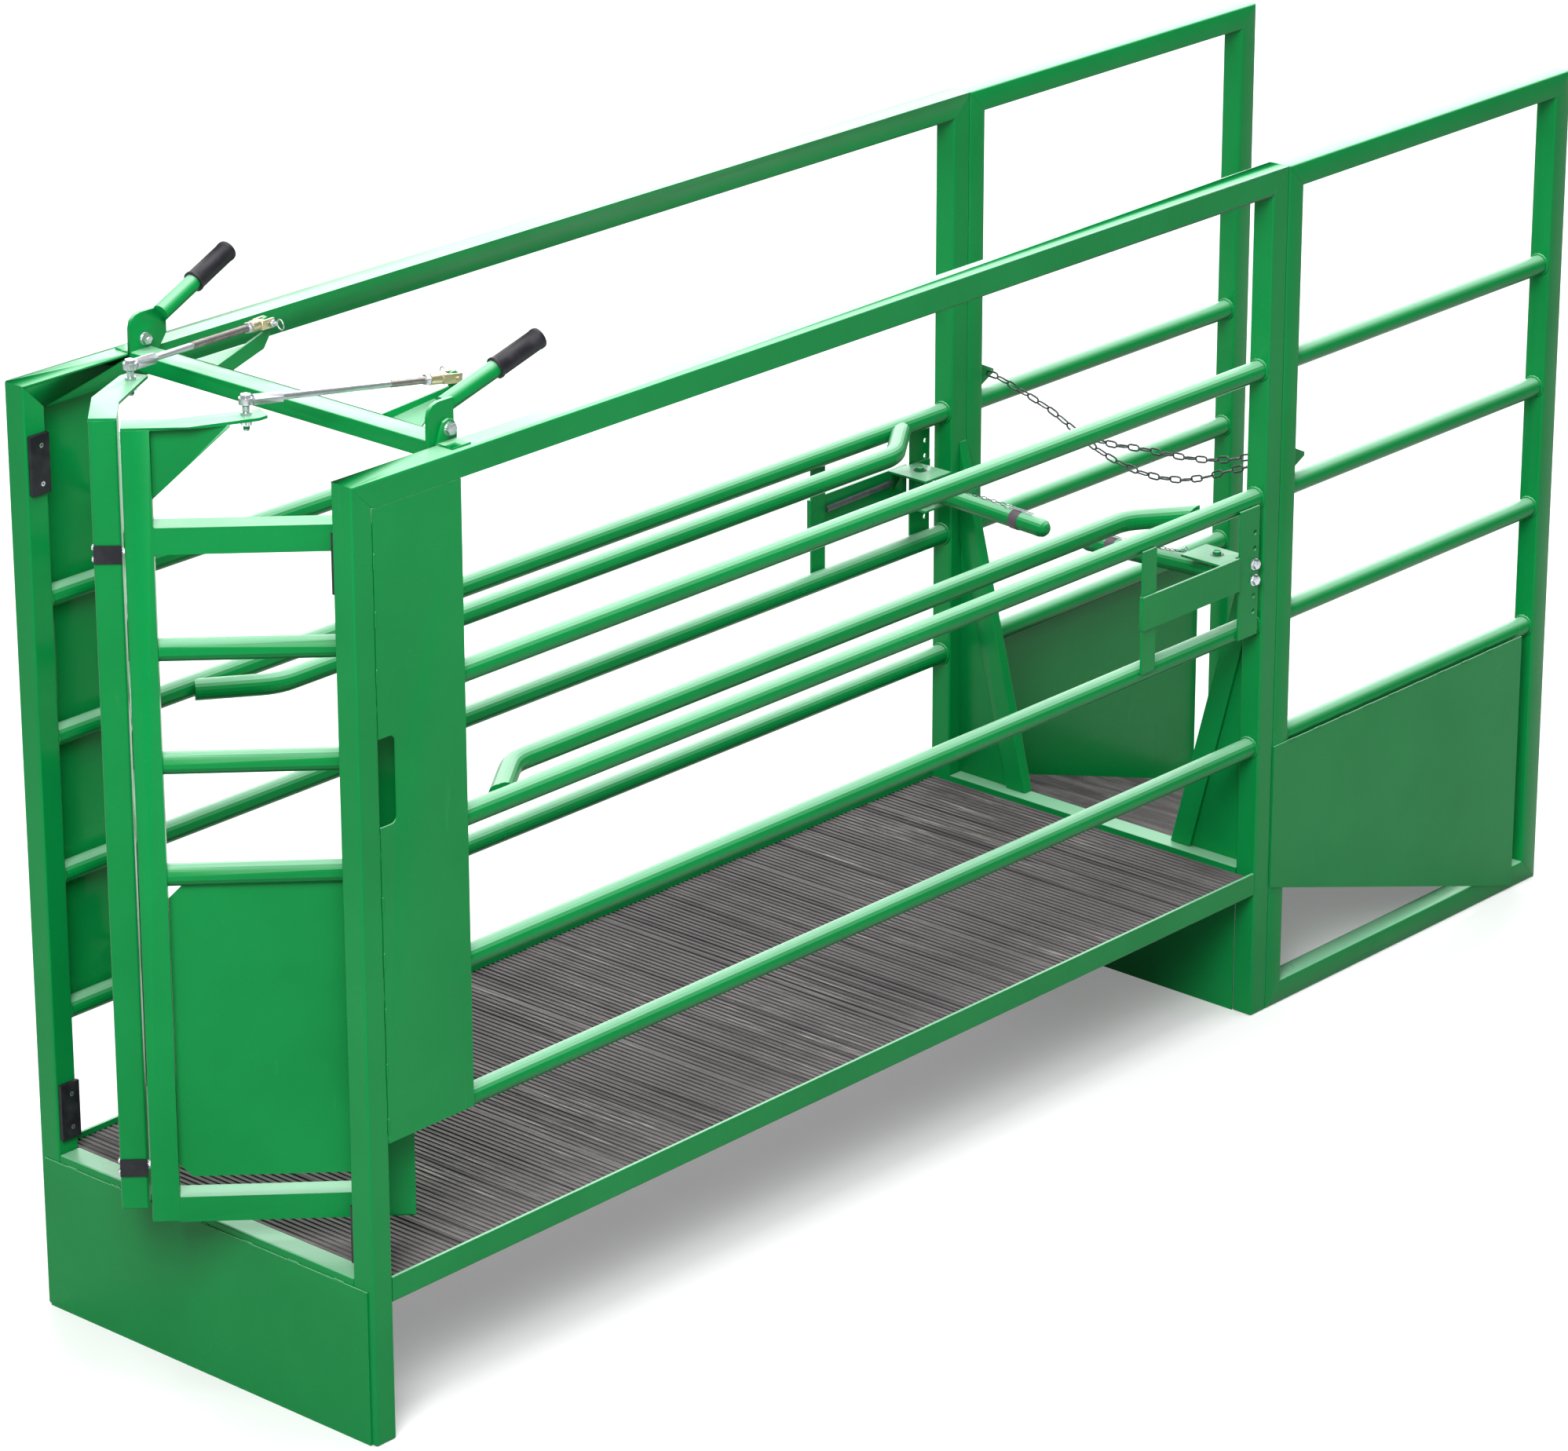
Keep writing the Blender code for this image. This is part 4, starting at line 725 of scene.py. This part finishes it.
class CHUTE_OT_sheets(bpy.types.Operator):
    """Front plates, skirt, tail sheets and entry wings, with their stitch welds"""
    bl_idname = "chute.sheets"
    bl_label = "Sheets"

    def execute(self, context):
        for name in SIDES:
            soften(f"{name}_tail_sheet", "green_paint", corner=0.002)
            for part in ("front_plate", "entry_wing"):
                soften(f"{name}_{part}", "green_paint", corner=0.003, plain=False)
        soften("front_skirt", "green_paint", corner=0.002)
        for name, side in SIDES.items():
            beads = [stitch_weld(chute_point(POST + 0.0004, side * PLATE_OUT, z), (0, 0, 1), 0.030)
                     for z in row(0.63, 0.108, 11) if not SLOT_LOW < z < SLOT_HIGH]
            beads += [stitch_weld(chute_point(x, side * SHEET_OUT, SHEET_TOP), (1, 0, 0), 0.024)
                      for x in row(TAIL_FRONT + 0.06, 0.088, 9)]
            if name == "near":
                beads += [stitch_weld(chute_point(-0.0010, y, SKIRT_TOP), (0, 1, 0), 0.026)
                          for y in row(-0.36, 0.12, 7)]
            new_piece(f"{name}_stitch_welds", joined(beads), "frame", "green_paint", sharp=80.0)
        return {"FINISHED"}


class CHUTE_OT_deck(bpy.types.Operator):
    """Ribbed deck boards and the ribbed mat of the ramp"""
    bl_idname = "chute.deck"
    bl_label = "Deck and ramp"

    def execute(self, context):
        low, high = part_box("deck")
        count = round((high.x - low.x) / sizes().board_pitch)
        pitch = (high.x - low.x) / count
        strips = 2 * sizes().groove_count + 1
        boards = []
        for number in range(count):
            board = ribbed_sheet(pitch - BOARD_GAP, high.y - low.y, strips, GROOVE_DEPTH, high.z - low.z)
            middle = Vector((low.x + pitch * (number + 0.5), 0, high.z - BOARD_STEP * (number % 2)))
            bmesh.ops.translate(board, vec=middle, verts=board.verts)
            boards.append(board)
        deck = new_piece("deck_boards", joined(boards), "frame", "deck_board")
        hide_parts("deck")

        low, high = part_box("ramp")
        run = high.x - low.x
        slope = math.atan2(high.z - RAMP_TOE, run)
        length = run / math.cos(slope)
        strips = 2 * round(length / RAMP_RIB) + 1
        mat = ribbed_sheet(length - 0.006, high.y - low.y - 0.004, strips, GROOVE_DEPTH, MAT_THICK)
        middle = Vector(((low.x + high.x) / 2, 0, (high.z + RAMP_TOE) / 2))
        lifted = Matrix.Translation(middle + Vector((math.sin(slope), 0, math.cos(slope))) * MAT_LIFT)
        bmesh.ops.transform(mat, matrix=lifted @ Matrix.Rotation(slope, 4, "Y"), verts=mat.verts)
        new_piece("ramp_mat", mat, "frame", "ramp_mat")
        wear(frame["nodes"]["ramp"], "green_paint")
        return {"FINISHED"}


def leaf_point(side, along, across, z):
    """A point on a closed leaf, from its hinge's axis towards its tip and its front."""
    x = GATE_HINGE[0] - along * math.cos(GATE_ANGLE) - across * math.sin(GATE_ANGLE)
    y = GATE_HINGE[1] - along * math.sin(GATE_ANGLE) + across * math.cos(GATE_ANGLE)
    return chute_point(x, side * y, z)


class CHUTE_OT_gates(bpy.types.Operator):
    """Gate leaves, their sheets, rubber straps and the pads that stop them"""
    bl_idname = "chute.gates"
    bl_label = "V gates"

    def execute(self, context):
        for name in SIDES:
            soften(f"{name}_gate_frame", "green_paint", plain=False)
            soften(f"{name}_gate_sheet", "green_paint", corner=0.002)
            for level in ("lower", "upper"):
                soften(f"{name}_{level}_post_pad", "rubber", corner=0.003)
        screw = [(0.0048, -0.0010), (0.0052, 0.0002), (0.0046, 0.00036), (0.0018, 0.00036), (0.0016, -0.0006),
                 (0, -0.0006)]
        for name, side in SIDES.items():
            places = [chute_point(PAD_SCREW_X, side * PAD_OUT, z) for z in PAD_SCREWS_Z]
            screws = [round_piece(screw, 20, facing(place, (0, -side, 0))) for place in places]
            new_piece(f"{name}_pad_screws", joined(screws), "frame", "bright_steel")
        clips = []
        for level in ("lower", "upper"):
            soften(f"{level}_gate_strap", "rubber", corner=0.002)
            low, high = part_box(f"{level}_gate_strap")
            z = (low.z + high.z) / 2
            front = Vector((-math.sin(GATE_ANGLE), math.cos(GATE_ANGLE), 0))
            for lift in (-0.011, 0.011):
                clips.append(hex_bolt(facing(leaf_point(1, TIP_U - 0.008, LEAF_FRONT, z + lift), front),
                                      0.0075, 0.0030, 0.0060, round_top=True))
            clips.append(hex_bolt(facing(leaf_point(1, TIP_U - 0.012, LEAF_BACK, z), -front),
                                  0.0110, 0.0050, 0.0085))
        new_piece("strap_clips", joined(clips), "far_gate", "bright_steel")
        return {"FINISHED"}


def lever_grip(name, side):
    """Fluted rubber grip with a collar and a rounded end."""
    start, tip = (chute_point(LEVER.x + along, side * out, LEVER.z + above)
                  for along, out, above in (HANDLE_ROOT, HANDLE_TIP))
    along = (tip - start).normalized()
    flutes = sizes().grip_flutes
    profile = [(0.0170, 0.0), (0.0208, 0.0), (0.0212, 0.0012), (0.0212, 0.0052), (0.0206, 0.0065),
               (0.0198, 0.0080), (0.0196, 0.098), (0.0203, 0.1000), (0.0203, 0.1060), (0.0195, 0.1085),
               (0.0170, 0.1100), (0.0, 0.1104)]
    shape = round_piece(profile, flutes * 2, Matrix.Identity(4))
    fluted = (0.0078, 0.0982)
    for vert in shape.verts:
        flat = Vector((vert.co.x, vert.co.y, 0))
        if fluted[0] < vert.co.z < fluted[1] and flat.length > 0.019:
            number = round(math.atan2(vert.co.y, vert.co.x) / math.tau * flutes * 2)
            if number % 2:
                vert.co -= flat.normalized() * 0.0009
    bmesh.ops.transform(shape, matrix=facing(tip - along * GRIP_LENGTH, along), verts=shape.verts)
    item = new_piece(f"{name}_grip_shown", shape, "lever_shaft", "rubber", sharp=50.0)
    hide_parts(f"{name}_lever_grip")


class CHUTE_OT_lever(bpy.types.Operator):
    """Lever with its fluted rubber grips and zinc pivot bolts"""
    bl_idname = "chute.lever"
    bl_label = "Lever"

    def execute(self, context):
        soften("lever", "green_paint", corner=0.003, plain=False)
        for name, side in SIDES.items():
            lever_grip(name, side)
            outer = facing(chute_point(LEVER.x, side * LUG_OUT, LEVER.z), (0, side, 0))
            inner = facing(chute_point(LEVER.x, side * YOKE_OUT, LEVER.z), (0, -side, 0))
            bolts = joined([hex_bolt(outer, 0.0204, 0.0092, 0.0128),
                            hex_bolt(inner, 0.0184, 0.0100, 0.0122, shank=0.002)])
            new_piece(f"{name}_pivot_bolt", bolts, "frame", "bright_steel")
        return {"FINISHED"}


def thread(start, along, length, radius, pitch):
    """Screw thread as a row of fine rings."""
    count = int(length / pitch)
    profile = [(radius * 0.9, 0.0)]
    for number in range(count):
        profile += [(radius, pitch * (number + 0.25)), (radius + pitch * 0.32, pitch * (number + 0.75))]
    profile.append((radius * 0.9, pitch * count))
    return round_piece(profile, 14, facing(start, along))


class CHUTE_OT_links(bpy.types.Operator):
    """Threaded link rods with their clevises, ring clips, rod ends and stud nuts"""
    bl_idname = "chute.links"
    bl_label = "Link rods"

    def execute(self, context):
        for name, side in SIDES.items():
            soften(f"{name}_link_rod", "bright_steel", corner=0.002, plain=False)
            soften(f"{name}_link_clevis", "yellow_zinc", corner=0.002, plain=False)
            clevis = chute_point(CLEVIS[0], side * CLEVIS[1], CLEVIS[2])
            ball = Vector((BALL[0], side * BALL[1], BALL[2]))
            along = (ball - clevis).normalized()
            threaded = thread(clevis + along * THREAD_START, along, THREAD_LENGTH[name], 0.00640, 0.0026)
            link = f"{name}_link"
            new_piece(f"{name}_rod_thread", threaded, link, "dull_steel", sharp=80.0)
            across = Vector((-along.y, along.x, 0)).normalized()
            inner = across if across.y * side < 0 else -across
            pin_end = [(0, -0.0080), (0.0040, -0.0080), (0.0040, 0.0), (0.0062, 0.0006), (0.0070, 0.0016),
                       (0.0070, 0.0056), (0.0060, 0.0066), (0.0036, 0.0068), (0.0034, 0.0130), (0, 0.0134)]
            clip = joined([wire_ring(clevis + inner * 0.0330, (1.0, -0.15, 0.1), 0.0100, 0.0013),
                           round_piece(pin_end, 20, facing(clevis + inner * 0.0125, inner))])
            new_piece(f"{name}_clevis_clip", clip, link, "bright_steel", sharp=60.0)
            sleeve = [(0.0060, 0.0), (0.0088, 0.0004), (0.0098, 0.0020), (0.0098, 0.0400), (0.0088, 0.0416),
                      (0.0060, 0.0420)]
            new_piece(f"{name}_rod_sleeve", round_piece(sleeve, 8, facing(ball - along * 0.0190, -along)),
                      link, "bright_steel")
            stud = Vector((ball.x, ball.y, CRANK_UNDER))
            collar = [(0, 0), (0.0098, 0), (0.0100, 0.0010), (0.0098, 0.0046), (0.0067, 0.0050),
                      (0.0066, 0.0160), (0, 0.0160)]
            nuts = joined([hex_bolt(facing(stud, (0, 0, -1)), 0.0194, 0.0128, 0.0128, shank=0.0100),
                           round_piece(collar, 20, facing(stud + Vector((0, 0, 0.0061)), (0, 0, 1)))])
            new_piece(f"{name}_stud_nut", nuts, f"{name}_gate", "bright_steel")
        return {"FINISHED"}


def bar_point(side, out, lift=0.0):
    """A point over the middle line of an anti-back bar, by its distance from the middle plane."""
    share = (BAR_PIVOT[1] - out) / (BAR_PIVOT[1] - BAR_TIP_OUT)
    return chute_point(BAR_PIVOT[0], side * out, BAR_PIVOT[2] - BAR_DROOP * share + lift)


def bar_dressing(name, side):
    """Band, hair pin and retaining chain of one anti-back bar."""
    body = f"{name}_bar"
    along = (bar_point(side, 0.1) - bar_point(side, 0.2)).normalized()
    band = round_piece([(0.0198, -0.0115), (0.0208, -0.0115), (0.0213, -0.0100), (0.0213, 0.0100),
                        (0.0208, 0.0115), (0.0198, 0.0115)], 32, facing(bar_point(side, 0.130), along))
    new_piece(f"{name}_bar_band", band, body, "band", sharp=50.0)

    lift = 0.0235
    legs = [round_tube(bar_point(side, 0.150, lift) + Vector((shift, 0, 0)),
                       bar_point(side, 0.088, lift) + Vector((shift, 0, 0)), 0.0013, 10)
            for shift in (-0.0035, 0.0035)]
    legs.append(wire_ring(bar_point(side, 0.156, lift), (0, 0, 1), 0.0065, 0.0013, 20))
    new_piece(f"{name}_hair_pin", joined(legs), body, "bright_steel", sharp=60.0)

    line = smooth_line([bar_point(side, out, rise) for out, rise in PIN_CHAIN_ROUTE], 5)
    chain = chain_along(f"{name}_pin_chain", line, body, 0.0125, 0.0019, PIN_CHAIN_WIDE, 0.6)
    line_length(line)
    ring = wire_ring(bar_point(side, 0.3215, 0.0315), (0.3, side * 1.0, 0.5), 0.0060, 0.0011, 20)
    new_piece(f"{name}_chain_ring", ring, body, "bright_steel", sharp=60.0)


class CHUTE_OT_anti_back(bpy.types.Operator):
    """Anti-back bars with their guides, adjusters, springs, bands and pins"""
    bl_idname = "chute.anti_back"
    bl_label = "Anti-back bars"

    def execute(self, context):
        for name, side in SIDES.items():
            for part in ("bar_guide", "adjuster_plate", "bar_bracket"):
                soften(f"{name}_{part}", "green_paint", corner=0.002, plain=False)
            wear(frame["nodes"][f"{name}_anti_back_bar"], "green_paint")
            wear(frame["nodes"][f"{name}_return_spring"], "spring_steel")
            bar_dressing(name, side)
            lip = bmesh.new()
            bmesh.ops.create_cube(lip, size=1.0)
            bmesh.ops.scale(lip, vec=(0.0034, 0.0112, 0.0720), verts=lip.verts)
            bmesh.ops.bevel(lip, geom=lip.edges[:], offset=0.0011, segments=2, profile=0.5, affect="EDGES",
                            material=-1)
            bmesh.ops.translate(lip, vec=chute_point(STRAP_FRONT + 0.0018, side * STRAP_OUT, BAR_PIVOT[2]),
                                verts=lip.verts)
            new_piece(f"{name}_strap_lip", lip, "frame", "green_paint")
            bolts = [hex_bolt(facing(chute_point(ADJUSTER_X, side * ADJUSTER_OUT, z), (0, side, 0)),
                              0.0182, 0.0080, 0.0130)
                     for z in ADJUSTER_BOLTS_Z]
            new_piece(f"{name}_adjuster_bolts", joined(bolts), "frame", "bright_steel")
            top = facing(chute_point(BAR_PIVOT[0], side * BAR_PIVOT[1], BRACKET_TOP), (0, 0, 1))
            head = round_piece([(0.0040, 0.0040), (0.0072, 0.0078), (0.0082, 0.0072), (0.0088, 0.0052),
                                (0.0088, 0.0001), (0.0040, 0.0001)], 24, top)
            new_piece(f"{name}_bar_pin_head", head, "frame", "green_paint")
            # Painted shade: a thin dark ring on the flange round the pin stands in for the shaded hole that
            # the pin goes through
            washer = round_piece([(0.0086, 0.0001), (0.0142, 0.0001), (0.0150, 0.0004), (0.0142, 0.0009),
                                  (0.0086, 0.0007)], 24, top)
            new_piece(f"{name}_bar_pin_washer", washer, "frame", "spring_steel")
        return {"FINISHED"}


def smooth_line(points, steps):
    """Catmull-Rom points through a list of points."""
    points = [points[0] * 2 - points[1]] + points + [points[-1] * 2 - points[-2]]
    line = []
    for a, b, c, d in zip(points, points[1:], points[2:], points[3:]):
        for step in range(steps):
            t = step / steps
            line.append(0.5 * (2 * b + (c - a) * t + (2 * a - 5 * b + 4 * c - d) * t * t
                               + (3 * b - a - 3 * c + d) * t * t * t))
    return line + [points[-2]]


def line_length(line):
    return sum((b - a).length for a, b in zip(line, line[1:]))


def at_distance(line, distance):
    """Point and direction at a distance along a line."""
    for a, b in zip(line, line[1:]):
        step = (b - a).length
        if distance <= step:
            break
        distance -= step
    direction = (b - a).normalized()
    return a + direction * min(distance, step), direction


def chain_link(pitch, wire, width):
    """One oval link along Z, its wire bent round two ends."""
    shape = bmesh.new()
    bend = (width - wire) / 2
    straight = pitch / 2 - bend
    ring = bmesh.ops.create_circle(shape, segments=6, radius=wire / 2)["verts"]
    bmesh.ops.translate(shape, vec=(bend, 0, -straight), verts=ring)
    last = shape.edges[:]
    for turn_at, run in ((straight, 2 * straight), (-straight, -2 * straight)):
        grown = bmesh.ops.extrude_edge_only(shape, edges=edges_of(last))["geom"]
        moved = verts_of(grown)
        bmesh.ops.translate(shape, vec=(0, 0, run), verts=moved)
        spun = bmesh.ops.spin(shape, geom=moved + edges_of(grown), axis=(0, -1, 0), cent=(0, 0, turn_at),
                              steps=4, angle=math.pi, use_merge=False)
        last = spun["geom_last"]
    bmesh.ops.remove_doubles(shape, verts=shape.verts, dist=wire * 0.05)
    bmesh.ops.recalc_face_normals(shape, faces=shape.faces)
    return shape


def chain_along(name, line, body, pitch, wire, width, lean=0.0):
    """Links along a line, each turned a quarter from the last."""
    total = line_length(line)
    count = max(2, round(total / pitch))
    links = []
    for number in range(count):
        middle, direction = at_distance(line, total * (number + 0.5) / count)
        link = chain_link(pitch, wire, width)
        roll = Matrix.Rotation(lean + math.pi / 2 * (number % 2), 4, "Z")
        bmesh.ops.transform(link, matrix=facing(middle, direction) @ roll, verts=link.verts)
        links.append(link)
    return new_piece(name, joined(links), body, "chain_steel", sharp=70.0)


class CHUTE_OT_chain(bpy.types.Operator):
    """Chain across the entry, hung in two runs between its keepers"""
    bl_idname = "chute.chain"
    bl_label = "Entry chain"

    def execute(self, context):
        for node, route, far_end in (("entry_chain", CHAIN_ROUTE, "object"),
                                     ("entry_chain_tail", CHAIN_TAIL_ROUTE, "bare")):
            line = smooth_line([chute_point(CHAIN_X, y, z) for y, z in route], 4)
            piece = chain_along(f"{node}_links", line, "frame", sizes().link_pitch, sizes().link_wire,
                                CHAIN_WIDE)
            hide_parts(node)
            line_length(line)
        return {"FINISHED"}


class CHUTE_OT_stage(bpy.types.Operator):
    """Pale floor, soft studio light and the camera"""
    bl_idname = "chute.stage"
    bl_label = "Stage"

    def execute(self, context):
        scene = context.scene
        floor_shape = bmesh.new()
        bmesh.ops.create_grid(floor_shape, x_segments=1, y_segments=1, size=60)
        mesh = bpy.data.meshes.new("studio_floor")
        floor_shape.to_mesh(mesh)
        floor_shape.free()
        floor = bpy.data.objects.new("studio_floor", mesh)
        scene.collection.objects.link(floor)
        ground = Finish("studio_floor")
        seen = ground.node("ShaderNodeLightPath", output="Is Camera Ray")
        for ray in ("Is Glossy Ray", "Is Transmission Ray"):
            seen = seen + ground.node("ShaderNodeLightPath", output=ray)
        ground.set(Base_Color=ground.mix(seen, (0.30, 0.30, 0.30), shade("floor")),
                   Emission_Color=ground.mix(seen, (0.0, 0.0, 0.0), (0.22, 0.22, 0.22)))
        ground.set(Emission_Strength=1.0, Roughness=0.9, Specular_IOR_Level=0.1)
        mesh.materials.append(ground.material)

        world = bpy.data.worlds.new("studio")
        world.use_nodes = True
        sky = world.node_tree.nodes["Background"]
        sky.inputs["Color"].default_value = (0.95, 0.98, 1.0, 1.0)
        sky.inputs["Strength"].default_value = 0.24
        scene.world = world

        for name, place, size, power in LAMPS:
            lamp = bpy.data.lights.new(name, "AREA")
            lamp.size = size
            lamp.energy = power
            item = bpy.data.objects.new(name, lamp)
            item.location = place
            item.rotation_euler = (LAMPS_AIM - Vector(place)).to_track_quat("-Z", "Y").to_euler()
            scene.collection.objects.link(item)

        lens = bpy.data.cameras.new("camera")
        lens.sensor_fit = "HORIZONTAL"
        lens.sensor_width = 36.0
        lens.lens = CAMERA_LENS
        lens.clip_end = 500
        camera = bpy.data.objects.new("camera", lens)
        camera.location = chute_point(*CAMERA_PLACE)
        camera.rotation_euler = [math.radians(turn) for turn in CAMERA_TURN]
        scene.collection.objects.link(camera)
        scene.camera = camera
        scene.view_settings.view_transform = "Standard"
        return {"FINISHED"}


OPERATORS = (CHUTE_OT_stage, CHUTE_OT_chain, CHUTE_OT_side_frames, CHUTE_OT_welds, CHUTE_OT_sheets,
             CHUTE_OT_deck, CHUTE_OT_gates, CHUTE_OT_lever, CHUTE_OT_links, CHUTE_OT_anti_back)


class CHUTE_PT_panel(bpy.types.Panel):
    """Lists the operators and the sizes and colours that they use"""
    bl_idname = "CHUTE_PT_panel"
    bl_label = "Stripping chute"
    bl_space_type = "VIEW_3D"
    bl_region_type = "UI"
    bl_category = "Chute"

    def draw(self, context):
        for operator in OPERATORS:
            self.layout.operator(operator.bl_idname)
        for group in (context.scene.chute_sizes, context.scene.chute_colours):
            for key in group.bl_rna.properties.keys():
                if key not in ("rna_type", "name"):
                    self.layout.prop(group, key)


CLASSES = (ChuteColours, ChuteSizes) + OPERATORS + (CHUTE_PT_panel,)


def register():
    for item in CLASSES:
        bpy.utils.register_class(item)
    bpy.types.Scene.chute_colours = bpy.props.PointerProperty(type=ChuteColours)
    bpy.types.Scene.chute_sizes = bpy.props.PointerProperty(type=ChuteSizes)


def unregister():
    del bpy.types.Scene.chute_sizes
    del bpy.types.Scene.chute_colours
    for item in reversed(CLASSES):
        bpy.utils.unregister_class(item)


def main():
    register()
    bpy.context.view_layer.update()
    make_looks()
    for operator in OPERATORS:
        group, action = operator.bl_idname.split(".")
        getattr(getattr(bpy.ops, group), action)()


if __name__ == "__main__":
    main()
